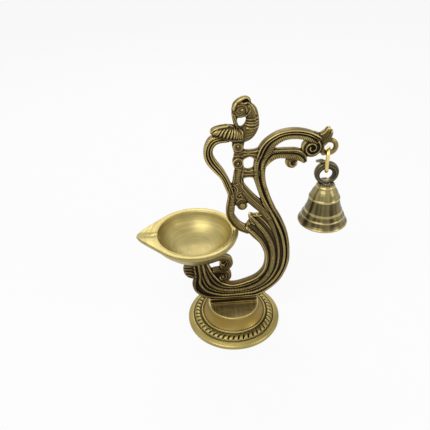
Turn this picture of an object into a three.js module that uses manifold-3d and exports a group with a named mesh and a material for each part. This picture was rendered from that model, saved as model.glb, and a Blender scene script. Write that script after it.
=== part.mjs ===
// Brass oil lamp: a turned base, a flat S-scroll casting with a peacock, a spouted oil bowl
// on the bracket of the casting, and a small bell that hangs from the eye of its arm.
// Millimetres, Z up. X runs along the casting from the spout to the bell. The casting is the
// same on both faces. Each piece is drawn about its own seat and then put in its place.

import * as THREE from 'three';
import { mergeVertices } from 'three/addons/utils/BufferGeometryUtils.js';
import Module from 'manifold-3d';

const wasm = await Module();
wasm.setup();

// Fit between separate pieces
const fit = 0.3;

// Turned base, hollow underneath
const baseRadius = 37.5;
const baseRimWidth = 2.6;
const flangeEdge = 2.2;
const toothRingRadius = 32.2;
const ridgeRadius = 26.4;
const deckRadius = 20;
const deckHeight = 16.7;
const baseWall = 2.2;

// Screw and washer that hold the casting down on the base
const screwRadius = 1.5;
const screwHeadRadius = 3.2;
const screwHeadHeight = 2.2;
const screwGrip = 4.5;
const slotWidth = 0.9;
const slotDepth = 1;
const washerRadius = 4.6;
const washerThickness = 1;

// S-scroll casting. Its heights start at the underside of its foot.
const castingHeight = 173.5;
const castingDepth = 5.6;
const neckX = 24;
const footMargin = 0.5;
const footHeight = 5.4;
const footDepth = 6.2;
const bracketHeight = 45.3;
const eyeX = 65.9;
const eyeHeight = 134.4;
const eyeRing = 4.8;
const eyeWire = 1.7;

// Oil bowl
const bowlX = -27.9;
const bowlHeight = 26.1;
const bowlFloor = 8.6;
const wellRadius = 27.4;
const rimRadius = 32.3;
const rimEdge = 3.4;
const spoutReach = 43;
const spoutRound = 0.08;
const spoutGroove = 1.6;
const bowlFootRadius = 8.4;
const bowlFootHeight = 1.8;

// Stud that joins bowl and bracket
const studRadius = 1.4;
const studInBowl = 3.4;
const studInBracket = 8;

// Link between the eye and the bell
const linkWire = 1.35;
const linkEnd = 4.7;
const linkLength = 16.8;
const linkTurn = -0.3;

// Bell
const bellMouth = 18;
const bellShoulder = 11.1;
const bellHeight = 31.4;
const bellWall = 1.6;
const crownOuter = 8.7;
const crownHole = 4.6;
const crownDepth = 5.2;

// Clapper and the staple that it hangs from
const stapleWire = 0.9;
const stapleHalf = 3.2;
const stapleDrop = 4;
const stapleSocket = 2.4;
const clapperEye = 2.2;
const clapperWire = 0.8;
const clapperLength = 15.5;
const clapperBall = 3.2;

// Facets
const turnedFacets = 30;
const bellFacets = 24;
const wireSides = 8;

const TAU = Math.PI * 2;

const brass = (color, roughness) => new THREE.MeshStandardMaterial({ color, roughness, metalness: 1 });
const satinBrass = brass(0xc7b873, 0.35);
const darkBrass = brass(0x6b5a2e, 0.5);
const bellBronze = brass(0x4d452f, 0.4);
const brightBrass = brass(0xd6bd55, 0.3);

// Closed solids from meshes

function toSolid(geometry) {
  const bare = geometry.clone();
  bare.deleteAttribute('normal');
  bare.deleteAttribute('uv');
  const merged = mergeVertices(bare, 1e-4);
  const spots = merged.attributes.position;
  const corners = [];
  let volume = 0;
  for (let i = 0; i < merged.index.count; i += 3) {
    const [a, b, c] = [0, 1, 2].map((k) => merged.index.getX(i + k));
    if (a === b || b === c || a === c) continue;
    const [p, q, r] = [a, b, c].map((k) => new THREE.Vector3().fromBufferAttribute(spots, k));
    volume += p.dot(q.cross(r));
    corners.push([a, b, c]);
  }
  const outward = volume > 0 ? corners : corners.map(([a, b, c]) => [a, c, b]);
  return new wasm.Manifold(new wasm.Mesh({
    numProp: 3,
    vertProperties: new Float32Array(spots.array),
    triVerts: new Uint32Array(outward.flat()),
  }));
}

function toGeometry(solid) {
  const mesh = solid.getMesh();
  const geometry = new THREE.BufferGeometry();
  geometry.setAttribute('position', new THREE.BufferAttribute(mesh.vertProperties, 3));
  geometry.setIndex(new THREE.BufferAttribute(mesh.triVerts, 1));
  return geometry;
}

const join = (solids) => solids.reduce((whole, next) => whole.add(next));

const cut = (solid, tools) => tools.reduce((left, tool) => left.subtract(tool), solid);

// Normal of a flat ring of points, by the sum of its turns
function ringNormal(ring) {
  const sum = new THREE.Vector3();
  ring.forEach((point, i) => {
    const next = ring[(i + 1) % ring.length];
    sum.add(new THREE.Vector3().crossVectors(point, next));
  });
  return sum.normalize();
}

// Triangles over a flat ring, counter-clockwise about its normal
function ringFaces(ring) {
  const normal = ringNormal(ring);
  const along = ring[1].clone().sub(ring[0]).normalize();
  const across = new THREE.Vector3().crossVectors(normal, along);
  const flat = ring.map((point) => new THREE.Vector2(point.dot(along), point.dot(across)));
  return THREE.ShapeUtils.triangulateShape(flat, []);
}

// A closed skin over rings of points that follow each other. A loop joins its last ring to
// its first, and any other skin gets a flat face at each end.
function loft(rings, loop = false) {
  const count = rings[0].length;
  const positions = rings.flat().flatMap(({ x, y, z }) => [x, y, z]);
  const index = [];
  const spans = loop ? rings.length : rings.length - 1;
  for (let ring = 0; ring < spans; ring++) {
    const here = ring * count;
    const there = ((ring + 1) % rings.length) * count;
    for (let side = 0; side < count; side++) {
      const next = (side + 1) % count;
      index.push(here + side, here + next, there + next);
      index.push(here + side, there + next, there + side);
    }
  }
  if (!loop) {
    const last = (rings.length - 1) * count;
    for (const [a, b, c] of ringFaces(rings[0])) index.push(a, c, b);
    for (const [a, b, c] of ringFaces(rings.at(-1))) index.push(last + a, last + b, last + c);
  }
  const geometry = new THREE.BufferGeometry();
  geometry.setAttribute('position', new THREE.Float32BufferAttribute(positions, 3));
  geometry.setIndex(index);
  return toSolid(geometry);
}

// The tables of the casting are drawn with its sizes as they are now. Where a size is changed,
// the casting stretches with it. Each stop holds a place as drawn and the same place as set.
function stretch(value, stops) {
  const passed = stops.filter(([drawn]) => drawn <= value).length;
  const low = Math.max(0, Math.min(stops.length - 2, passed - 1));
  const [[drawnLow, setLow], [drawnHigh, setHigh]] = stops.slice(low, low + 2);
  return setLow + ((value - drawnLow) / (drawnHigh - drawnLow)) * (setHigh - setLow);
}

const fitX = (x) => stretch(x, [[-27.9, bowlX], [0, 0], [24, neckX], [65.9, eyeX]]);
const fitZ = (z) => stretch(z, [[0, 0], [45.3, bracketHeight], [134.4, eyeHeight], [173.5, castingHeight]]);
const spot = (x, z) => new THREE.Vector3(fitX(x), 0, fitZ(z));
const gauge = castingDepth / 5.6;

// A ribbon of the casting between two edges. Each station holds a point [x, z] of the inner edge
// and one of the outer edge, and the profile gives the half depth at fractions of the width.
function band(stations, profile, perSpan = 1) {
  const edge = (from) => new THREE.CatmullRomCurve3(
    stations.map((station) => spot(station[from], station[from + 1])),
  );
  const inner = edge(0);
  const outer = edge(2);
  const count = (stations.length - 1) * perSpan;
  const rings = [];
  for (let i = 0; i <= count; i++) {
    const from = inner.getPoint(i / count);
    const to = outer.getPoint(i / count);
    const face = (side) => profile.map(([at, half]) => from.clone().lerp(to, at).setY(side * half));
    rings.push([...face(-1), ...face(1).reverse()]);
  }
  return loft(rings);
}

// A tapering strand with an oval section about a flat path, with a half width and half depth
// for each point of the path
function taper(points, widths, { sides = wireSides, perSpan = 1 } = {}) {
  const path = new THREE.CatmullRomCurve3(points);
  const sizes = new THREE.CatmullRomCurve3(widths.map(([wide, deep]) => new THREE.Vector3(wide, deep, 0)));
  const count = (points.length - 1) * perSpan;
  const swell = 1 / Math.cos(Math.PI / sides);
  const rings = [];
  for (let i = 0; i <= count; i++) {
    const at = path.getPoint(i / count);
    const along = path.getTangent(i / count);
    const size = sizes.getPoint(i / count).multiplyScalar(swell);
    const ring = [];
    for (let side = 0; side < sides; side++) {
      const turn = ((side + 0.5) / sides) * TAU;
      const off = size.x * Math.cos(turn);
      ring.push(new THREE.Vector3(at.x + along.z * off, size.y * Math.sin(turn), at.z - along.x * off));
    }
    rings.push(ring);
  }
  return loft(rings);
}

// A strand of the casting. Each station holds x, z, half width and half depth.
const strand = (stations, options) => taper(
  stations.map(([x, z]) => spot(x, z)),
  stations.map(([, , wide, deep = 2.8]) => [wide * gauge, deep * gauge]),
  options,
);

// A ring of wire about the points of a closed flat path
function wireRing(points, radius) {
  const count = points.length;
  const up = ringNormal(points);
  return loft(points.map((point, i) => {
    const before = points[(i + count - 1) % count];
    const along = points[(i + 1) % count].clone().sub(before).normalize();
    const side = new THREE.Vector3().crossVectors(along, up).normalize();
    return Array.from({ length: wireSides }, (_, k) => {
      const turn = ((k + 0.5) / wireSides) * TAU;
      return point.clone()
        .addScaledVector(side, radius * Math.cos(turn))
        .addScaledVector(up, radius * Math.sin(turn));
    });
  }), true);
}

// A solid of revolution about Z
function turned(profile, facets = turnedFacets) {
  const points = profile.map(([r, z]) => new THREE.Vector2(r, z));
  return toSolid(new THREE.LatheGeometry(points, facets).rotateX(Math.PI / 2));
}

// A round bar along Z between two heights
const bar = (radius, low, high, facets = 20) => toSolid(
  new THREE.CylinderGeometry(radius, radius, high - low, facets)
    .rotateX(Math.PI / 2).translate(0, 0, (low + high) / 2),
);

// A flat round boss of the casting, with its axis along Y
const boss = (x, z, radius, half, facets = 12) => toSolid(
  new THREE.CylinderGeometry(radius * gauge, radius * gauge, 2 * half, facets).translate(fitX(x), 0, fitZ(z)),
);

const ball = (x, z, wide, deep, tall) => toSolid(
  new THREE.SphereGeometry(gauge, 10, 6).scale(wide, deep, tall).translate(fitX(x), 0, fitZ(z)),
);

// Turned base

function baseFoot() {
  const hole = screwRadius + fit;
  const outside = [
    [baseRadius - 0.4, 0],
    [baseRadius, 0.4],
    [baseRadius, flangeEdge],
    [baseRadius - 0.7, flangeEdge + 0.8],
    [toothRingRadius + 1.2, flangeEdge + 2.4],
    [toothRingRadius + 0.6, flangeEdge + 1.8],
    [toothRingRadius, flangeEdge + 2],
    [toothRingRadius - 0.5, flangeEdge + 3.4],
    [toothRingRadius - 2.4, flangeEdge + 4.4],
    [ridgeRadius + 1.6, flangeEdge + 4.2],
    [ridgeRadius + 1, flangeEdge + 3.6],
    [ridgeRadius + 0.4, flangeEdge + 3.9],
    [ridgeRadius, flangeEdge + 5.4],
    [ridgeRadius - 0.7, flangeEdge + 5.8],
    [ridgeRadius - 1.5, flangeEdge + 5.3],
  ];
  const drumFoot = ridgeRadius - 1.8;
  const drumLow = flangeEdge + 5.6;
  const drumHigh = deckHeight - 1.2;
  const cavetto = [0, 1, 2, 3, 4].map((step) => {
    const turn = (step / 4) * (Math.PI / 2);
    return [
      drumFoot - (drumFoot - deckRadius - 0.3) * Math.sin(turn),
      drumLow + (drumHigh - drumLow) * (1 - Math.cos(turn)),
    ];
  });
  const inside = [
    [hole, deckHeight - baseWall],
    [deckRadius - baseWall - 1.2, deckHeight - baseWall],
    [deckRadius - baseWall, deckHeight - baseWall - 1.4],
    [ridgeRadius - baseWall - 2, flangeEdge + 5.4],
    [ridgeRadius - 0.4, flangeEdge + 2.2],
    [toothRingRadius - 0.6, flangeEdge - 0.2],
    [baseRadius - baseRimWidth - 0.4, 0.4],
    [baseRadius - baseRimWidth, 0],
  ];
  const deck = [[deckRadius + 0.2, deckHeight - 0.5], [deckRadius - 0.4, deckHeight], [hole, deckHeight]];
  const ring = [...outside, ...cavetto, ...deck, ...inside];
  return turned([...ring, ring[0]]);
}

function baseWasher() {
  const hole = screwRadius + fit;
  return turned([
    [hole, 0], [washerRadius, 0], [washerRadius, washerThickness], [hole, washerThickness], [hole, 0],
  ], 24);
}

// Slotted pan head below, shank above. Height 0 is where the head bears on the washer.
function baseScrew() {
  const shank = washerThickness + baseWall + 2 * fit + screwGrip;
  const body = turned([
    [0, -screwHeadHeight],
    [screwHeadRadius * 0.55, -screwHeadHeight],
    [screwHeadRadius * 0.9, -screwHeadHeight * 0.7],
    [screwHeadRadius, -screwHeadHeight * 0.3],
    [screwHeadRadius, 0],
    [screwRadius, 0],
    [screwRadius, shank - 0.5],
    [screwRadius - 0.5, shank],
    [0, shank],
  ], 20);
  const slot = new THREE.BoxGeometry(3 * screwHeadRadius, slotWidth, 2 * slotDepth);
  return cut(body, [toSolid(slot.translate(0, 0, -screwHeadHeight))]);
}

// S-scroll casting: flat plates with raised rails, each the same on both faces

const rail = castingDepth / 2;
const ledge = rail * 0.78;
const channel = rail * 0.5;

// Sections from the inner edge to the outer edge: fraction of the width, half depth
const plateSection = [[0, rail * 0.3], [0.03, channel], [0.97, channel], [1, rail * 0.3]];
const neckSection = [
  [0, rail * 0.4], [0.12, rail], [0.36, rail], [0.52, channel], [0.68, rail], [0.9, rail],
  [1, rail * 0.4],
];
const armSection = [
  [0, rail * 0.4], [0.04, rail], [0.14, rail], [0.22, channel], [0.32, ledge],
  [0.44, channel], [0.6, ledge], [0.78, rail], [0.94, ledge], [1, rail * 0.4],
];
const tailSection = [
  [0, rail * 0.4], [0.14, rail], [0.3, channel], [0.5, ledge], [0.66, channel],
  [0.86, ledge], [1, rail * 0.4],
];

// Edges of the wide scroll, from its leaf head down the S, along the foot and up the bracket
const scrollEdges = [
  [12.8, 85.6, 33, 86],
  [12.5, 80, 35.2, 80.5],
  [9.4, 73.6, 38, 73],
  [13.5, 65.5, 40.4, 67],
  [20.5, 57, 43, 56],
  [24.5, 46.3, 44, 46],
  [24.6, 38.5, 43.8, 37.5],
  [22.6, 30.4, 41.3, 28],
  [18.1, 24.7, 37, 19],
  [11.5, 20.3, 28.5, 10],
  [5, 17.3, 17, 3.3],
  [-2, 17, 2, 1],
  [-7.5, 19, -12, 2.5],
  [-11.5, 23, -23, 6.5],
  [-13.5, 28, -30, 12],
  [-15, 33, -32.5, 20.5],
  [-19.2, 38, -30.8, 29],
  [-20.3, 42, -31, 38],
  [-21, 45.3, -31.5, 45.3],
];

// Rails of the scroll: x, z and half width
const outerRail = [
  [29.6, 89.6, 1.1], [35, 79, 1.3], [40, 65.2, 1.4], [42.4, 48.8, 1.4], [41.2, 34, 1.4],
  [34.6, 19, 1.4], [21.5, 7.6, 1.3], [6, 3, 1.3], [-10, 3.6, 1.3], [-23.4, 8.8, 1.3],
  [-30.4, 17, 1.3], [-29.6, 30, 1.3], [-30.4, 44.6, 1.2],
];
const secondRail = [
  [25.6, 91.5, 0.9], [32, 77.2, 1.2], [37.2, 63, 1.3], [39.6, 47, 1.3], [37.8, 32, 1.3],
  [30.6, 18.6, 1.3], [19, 9.8, 1.2], [5, 6.4, 1.2], [-9, 7.4, 1.2], [-21, 13.6, 1.2],
  [-26.2, 22, 1.2], [-26, 31, 1.2], [-27, 44.6, 1.1],
];
const thirdRail = [
  [13.4, 83.6, 1], [18, 76.6, 1.8], [24.4, 67, 2], [29.4, 55.6, 2], [31, 43, 2],
  [29.2, 30.4, 2], [22.6, 19.4, 1.9], [12.6, 13.2, 1.8], [1, 11.4, 1.8], [-10.4, 14, 1.7],
  [-18.4, 21, 1.6], [-21.8, 31, 1.5], [-23.8, 44.6, 1.2],
];
const innerRail = [
  [10.4, 73.6, 1.1], [16.6, 66.6, 1.3], [22.6, 57.6, 1.4], [26, 46.6, 1.4], [25.2, 34, 1.4],
  [19.8, 25.4, 1.4], [11, 20.6, 1.4], [0, 18, 1.3], [-8.6, 21, 1.3], [-13.8, 27, 1.3],
  [-18, 35, 1.2], [-21.2, 44.6, 1],
];
const lipRail = [[15.4, 76.6, 1.4], [13.6, 80.6, 1.5], [12.2, 84, 1.3], [11.8, 86.6, 0.7]];

const neckEdges = [
  [26.4, 80, 34.6, 80],
  [24, 86, 32.5, 86],
  [20.8, 95.5, 28.8, 95],
  [18.3, 103.2, 25.9, 102.8],
  [16.2, 110, 23.9, 110.5],
  [14.9, 115, 23.2, 117],
  [14.9, 124, 22.8, 124],
  [16, 131, 25, 130.5],
];

const armEdges = [
  [15.2, 127, 24, 127],
  [18.3, 137, 28.2, 134.5],
  [22.2, 142.3, 30.3, 138],
  [28.3, 146.5, 33.5, 140.3],
  [32.7, 148.2, 36, 141.4],
  [38, 149.1, 39.4, 141.9],
  [44, 149, 43.6, 141.8],
  [50.2, 147.7, 47.8, 140.9],
  [55.6, 145.5, 51.8, 139.3],
  [60.2, 142.5, 56.5, 136.5],
];

const lowerArmEdges = [
  [19.5, 122, 23.2, 117],
  [22, 129, 23.8, 122.5],
  [27, 135, 27.2, 126.2],
  [32.3, 135.5, 31, 128.3],
  [39, 135.4, 36.5, 128],
  [45, 134.8, 41.5, 126.8],
  [48.8, 131, 45.2, 125.6],
  [51, 127.5, 46.7, 124.3],
  [51.2, 124, 49.3, 123.4],
];

const tailEdges = [
  [-5.5, 148, -1, 142.4],
  [-13.4, 146.6, -8, 141.8],
  [-17.2, 141.5, -11.6, 138.6],
  [-18.6, 134.5, -12, 133.6],
  [-17, 128, -9.4, 128.2],
  [-12.6, 121.8, -5.8, 122.8],
  [-7.8, 115.8, -3, 117.2],
  [-5.2, 109, -0.6, 111.5],
  [-3.4, 104, 1.8, 104.5],
  [-2.4, 100, 2.4, 100],
];

// A spiral rail on a thin disc
function spiral(x, z, radius, turns, start, half) {
  const stepsPerTurn = 12;
  const steps = Math.round(turns * stepsPerTurn);
  const inner = 1.6;
  const stations = [];
  for (let step = 0; step <= steps; step++) {
    const turn = start - (step / stepsPerTurn) * TAU;
    const reach = radius - (radius - inner) * (step / steps);
    stations.push([x + reach * Math.cos(turn), z + reach * Math.sin(turn), half]);
  }
  return [strand(stations, { sides: 6 }), boss(x, z, radius, channel, 16)];
}

function peacock() {
  const body = strand([
    [-12.6, 149.2, 1, 1.8], [-9, 149, 3, 3.4], [-3, 148.4, 4.3, 4.4], [3.5, 147.4, 5.8, 4.6],
    [9.4, 148.4, 6.1, 4.4], [13.2, 152.4, 5.1, 3.9], [14, 157.5, 4.3, 3.5], [12.4, 163.2, 4.4, 3.4],
    [8.6, 165.8, 3.6, 3],
  ], { sides: 10 });
  const head = ball(6, 163.9, 5.7, 3.7, 4.9);
  const beak = strand([[2.8, 161.5, 2.5, 2.6], [2.6, 157.6, 1.6, 2.2], [3.2, 154.6, 1.4, 2], [4.4, 151.4, 1.6, 2]]);
  const wing = strand([
    [-13, 150.5, 0.8, 2.4], [-10, 150.2, 2.7, 4], [-4, 149.4, 4.4, 5.1], [1.5, 148.6, 4.7, 5.3],
    [6.4, 147.2, 3.2, 4.8],
  ], { sides: 10 });
  const leaf = new THREE.Shape([
    [1.6, 164], [0.8, 168], [3.2, 170.8], [6.2, 172.6], [9.4, 173.5], [11.6, 172.2], [12.6, 169.6],
    [13, 165.4],
  ].map(([x, z]) => new THREE.Vector2(fitX(x), fitZ(z))));
  const crest = new THREE.ExtrudeGeometry(leaf, { depth: 2 * channel, bevelEnabled: false })
    .rotateX(Math.PI / 2).translate(0, channel, 0);
  const fold = strand([
    [1.6, 165.6, 0.9, 2.2], [1.8, 168, 1.1, 2.4], [4.6, 170.7, 1.2, 2.5], [8, 172, 1.3, 2.4],
    [10.6, 171.8, 1.1, 2.2], [12, 170.2, 0.8, 1.8],
  ]);
  return [body, head, beak, wing, toSolid(crest), fold];
}

// The foot bar: an extruded section with softened upper corners
function footBar() {
  const half = footDepth / 2;
  const section = new THREE.Shape([
    [-half, 0], [half, 0], [half, footHeight - 0.8], [half - 0.7, footHeight],
    [0.7 - half, footHeight], [-half, footHeight - 0.8],
  ].map(([y, z]) => new THREE.Vector2(y, z)));
  const length = 2 * (deckRadius - footMargin);
  const prism = new THREE.ExtrudeGeometry(section, { depth: length, bevelEnabled: false });
  return toSolid(prism.rotateX(Math.PI / 2).rotateZ(Math.PI / 2).translate(-length / 2, 0, 0));
}

function standFrame() {
  const eyePath = Array.from({ length: 16 }, (_, i) => {
    const turn = (i / 16) * TAU;
    return new THREE.Vector3(eyeX + eyeRing * Math.cos(turn), 0, eyeHeight + eyeRing * Math.sin(turn));
  });
  const solids = [
    band(scrollEdges, plateSection),
    ...[outerRail, secondRail, thirdRail, innerRail, lipRail].map((line) => strand(line)),
    band(neckEdges, neckSection),
    band(armEdges, armSection),
    band(lowerArmEdges, neckSection),
    band(tailEdges, tailSection),
    footBar(),
    // Arm: curl, spiral, web to the eye and turned-up bud
    strand([
      [43, 128.6, 2.2], [39.6, 127, 2.3], [38.9, 123.8, 2.1], [41.6, 122.4, 1.8], [43.8, 124, 1.5],
    ], { perSpan: 2 }),
    boss(41.5, 125, 3, channel),
    ...spiral(54, 135, 6.1, 1.6, 0.9, 1.1),
    strand([[55.5, 143, 3.2], [59.4, 139.6, 3.6], [60.4, 134, 2.4], [62.4, 129.8, 1.6]]),
    strand([[58.5, 141.5, 2.8], [62, 144.2, 2.2], [64.2, 147.8, 0.9]]),
    strand([[61.6, 138.4, 3], [64.6, 141.6, 2.4], [66.2, 145, 1.1]]),
    wireRing(eyePath, eyeWire),
    // Column under the bird, its rosettes and knob, and the strand beside the bowl
    strand([
      [5.2, 143, 4], [4.6, 138.6, 3.9], [5.3, 133.2, 3.2], [4.4, 127.2, 3.8], [5.4, 122, 3.2],
      [4.6, 115, 3.8], [4.6, 109, 4.4], [5, 102, 5.6], [6.2, 96, 5.2], [7.3, 92.3, 3.4],
    ]),
    boss(4.4, 138.8, 3.5, rail + 0.4),
    boss(4.3, 127.1, 3.5, rail + 0.5),
    boss(7.3, 92.9, 3.6, rail * 0.8),
    ball(7.3, 92.3, 2.4, rail + 0.8, 2.4),
    strand([
      [0.5, 103, 2.6], [-0.4, 96.5, 2.9], [-1.2, 90.4, 3.2], [-1.2, 84.8, 3], [1.6, 78.8, 3.1],
      [5.8, 74, 3.2], [12.5, 70.2, 3.2],
    ]),
    // Diagonal strand and the two bridges between column and neck
    strand([
      [4.5, 112, 3], [7, 107, 3.4], [12.3, 99.3, 3.9], [17.5, 93.5, 4], [22.5, 88, 3.8], [27, 80, 3],
    ]),
    strand([[6.5, 132.4, 4.2], [12.4, 133.2, 2.7], [17.5, 132.4, 4.4]]),
    strand([[6.5, 118.4, 4.2], [11.8, 118.2, 3.6], [17, 118.4, 4.2]]),
    // Bracket: two stacked curls on a web on the right, leaf on the left
    strand([
      [-22, 43, 2], [-17.5, 43.4, 1.9], [-13, 45, 2], [-8.4, 46.4, 2.3], [-3.8, 44.9, 2.6],
      [-2.4, 40.4, 2.5], [-4.4, 36.6, 2.3], [-8.2, 36.6, 2], [-9, 40, 1.5],
    ], { perSpan: 2 }),
    boss(-6.2, 40.6, 4.2, channel),
    strand([
      [-15.4, 33.6, 1.8], [-9.6, 34, 2], [-4.8, 32.6, 2.1], [-3.3, 28.2, 2.1], [-5, 24.2, 2],
      [-9, 23.6, 1.7], [-10, 27.4, 1.3],
    ], { perSpan: 2 }),
    boss(-9.4, 29, 6.4, channel),
    strand([[-29.5, 29.5, 2.2], [-34.6, 32, 3], [-36, 37.3, 3.1], [-35, 42.3, 1.8]]),
    ...peacock(),
  ];
  const bowlLow = bracketHeight + fit;
  const tools = [
    bar(screwRadius + fit, -1, screwGrip + fit),
    bar(bowlFootRadius + 1, bracketHeight, bracketHeight + 4, 24).translate([bowlX, 0, 0]),
    bar(studRadius + fit, bracketHeight - studInBracket - fit, bracketHeight + 5).translate([bowlX, 0, 0]),
    bar(rimRadius + fit, bowlLow + bowlHeight - rimEdge - 1, bowlLow + bowlHeight + 1, 48)
      .translate([bowlX, 0, 0]),
  ];
  return cut(join(solids), tools);
}

// Oil bowl: round well in a rim that runs out to a spout. Height 0 is the underside of its foot.

// Distance from the axis of the bowl to its rim, at an angle from the spout
function rimReach(angle) {
  const open = Math.acos(rimRadius / spoutReach) + spoutRound;
  const off = Math.hypot(angle, spoutRound);
  return off < open ? rimRadius / Math.cos(open - off) : rimRadius;
}

function oilBowl() {
  const sides = 40;
  const top = bowlHeight;
  const deep = bowlHeight - bowlFloor;
  // Each ring: radius of its round part, share of the rim outline, inset, height, groove
  const outside = [
    [bowlFootRadius, 0, 0, 0, 0],
    [bowlFootRadius + 0.3, 0, 0, bowlFootHeight, 0],
    [bowlFootRadius + 1.4, 0, 0, bowlFootHeight + 1, 0],
    [wellRadius * 0.52, 0, 0, top - deep - 2.6, 0],
    [wellRadius * 0.74, 0, 0, top - deep * 0.88, 0],
    [wellRadius * 0.93, 0.12, 1, top - deep * 0.56, 0],
    [wellRadius * 1.06, 0.6, 2, top - rimEdge - 2, 0],
    [0, 1, 0.5, top - rimEdge, 0],
    [0, 1, 0, top - rimEdge + 0.6, 0],
    [0, 1, 0, top - 0.5, 0.2],
    [0, 1, 0.6, top, 0.4],
  ];
  const inside = [
    [wellRadius + 0.6, 0.35, 1.2, top - 0.4, 1],
    [wellRadius + 0.5, 0, 0, top - 0.7, 1],
    [wellRadius - 0.6, 0, 0, top - 2.2, 0.8],
    [wellRadius * 0.94, 0, 0, top - deep * 0.28, 0],
    [wellRadius * 0.84, 0, 0, top - deep * 0.52, 0],
    [wellRadius * 0.66, 0, 0, top - deep * 0.77, 0],
    [wellRadius * 0.42, 0, 0, top - deep * 0.94, 0],
    [wellRadius * 0.16, 0, 0, top - deep, 0],
  ];
  const rings = [...outside, ...inside].map(([radius, share, inset, height, groove]) => (
    Array.from({ length: sides }, (_, side) => {
      const turn = (side / sides) * TAU;
      const off = Math.min(turn, TAU - turn);
      const reach = radius * (1 - share) + (rimReach(off) - inset) * share;
      const dip = groove * spoutGroove * Math.max(0, 1 - (off * reach) / 8);
      return new THREE.Vector3(-reach * Math.cos(turn), -reach * Math.sin(turn), height - dip);
    })
  ));
  return cut(loft(rings), [bar(studRadius + fit, -1, studInBowl + fit)]);
}

const bowlStud = () => turned([
  [0, 0],
  [studRadius - 0.3, 0],
  [studRadius, 0.3],
  [studRadius, studInBracket + studInBowl - 0.3],
  [studRadius - 0.3, studInBracket + studInBowl],
  [0, studInBracket + studInBowl],
], 16);

// Link: a long ring of wire with round ends, in the plane across the casting.
// Height 0 is the middle of its upper wire.
function bellLink() {
  const straight = linkLength / 2 - linkEnd;
  const points = Array.from({ length: 24 }, (_, i) => {
    const turn = ((i + 0.5) / 24) * TAU;
    const lift = Math.sin(turn) > 0 ? straight : -straight;
    const z = linkEnd * Math.sin(turn) + lift - linkLength / 2;
    return new THREE.Vector3(0, linkEnd * Math.cos(turn), z);
  });
  return wireRing(points, linkWire);
}

// Bell. Height 0 is its mouth.
const crownX = -0.4;
const crownHeight = bellHeight + crownOuter - 0.6;
const crownHoleX = crownX - 0.3;
const crownHoleHeight = crownHeight - 1.4;
const ceiling = bellHeight - 6.4;
const barHeight = ceiling - stapleDrop;

function bellBody() {
  const flare = bellMouth - bellShoulder;
  const outside = [
    [bellMouth - 0.3, 0], [bellMouth, 0.5], [bellMouth - 0.4, 1.1],
    [bellShoulder + flare * 0.74, 2.9], [bellShoulder + flare * 0.6, 5.2],
    [bellShoulder + flare * 0.66, 5.8], [bellShoulder + flare * 0.54, 6.4],
    [bellShoulder + flare * 0.33, 9.2], [bellShoulder + flare * 0.4, 9.8],
    [bellShoulder + flare * 0.26, 10.5], [bellShoulder + flare * 0.13, 13], [bellShoulder, 17.4],
    [bellShoulder - 0.4, 19.4], [bellShoulder + 0.2, 20.1], [bellShoulder - 0.5, 20.9],
    [bellShoulder - 1.3, 22.8], [bellShoulder - 2.6, 25.7], [bellShoulder - 4.6, 28.6],
    [bellShoulder - 5, bellHeight], [0, bellHeight],
  ];
  const inside = [
    [0, ceiling], [bellShoulder - bellWall - 3.4, ceiling - 1],
    [bellShoulder - bellWall - 0.6, ceiling - 4.6],
    [bellShoulder - bellWall + 0.3, 14.5], [bellShoulder + flare * 0.3 - bellWall, 8.5],
    [bellShoulder + flare * 0.66 - bellWall, 3.2], [bellMouth - bellWall, 0],
  ];
  const shell = turned([...outside, ...inside, outside[0]], bellFacets);
  const steps = 20;
  const crown = Array.from({ length: steps }, (_, i) => {
    const turn = (i / steps) * TAU;
    const toward = new THREE.Vector3(Math.cos(turn), 0, Math.sin(turn));
    const near = toward.clone().multiplyScalar(crownHole).add(new THREE.Vector3(crownHoleX, 0, crownHoleHeight));
    const far = toward.clone().multiplyScalar(crownOuter).add(new THREE.Vector3(crownX, 0, crownHeight));
    const middle = near.clone().lerp(far, 0.5);
    const half = far.clone().sub(near).multiplyScalar(0.5);
    return Array.from({ length: wireSides }, (__, k) => {
      const round = ((k + 0.5) / wireSides) * TAU;
      const point = middle.clone().addScaledVector(half, Math.cos(round) * 1.08);
      return point.setY((crownDepth / 2) * Math.sin(round) * 1.08);
    });
  });
  const nubTop = crownHeight + crownOuter;
  const nubPath = [[-1, -2], [-4, 0.6], [-7.6, 0.8]];
  const nub = taper(
    nubPath.map(([along, lift]) => new THREE.Vector3(crownX + along, 0, nubTop + lift)),
    [[1.4, 1.8], [1.2, 1.6], [0.9, 1.2]],
    { sides: 6 },
  );
  const sockets = [-1, 1].map((side) => (
    bar(stapleWire + fit, ceiling - 3, ceiling + stapleSocket, 12).translate([0, side * stapleHalf, 0])
  ));
  return cut(join([shell, loft(crown, true), nub]), sockets);
}

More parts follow.
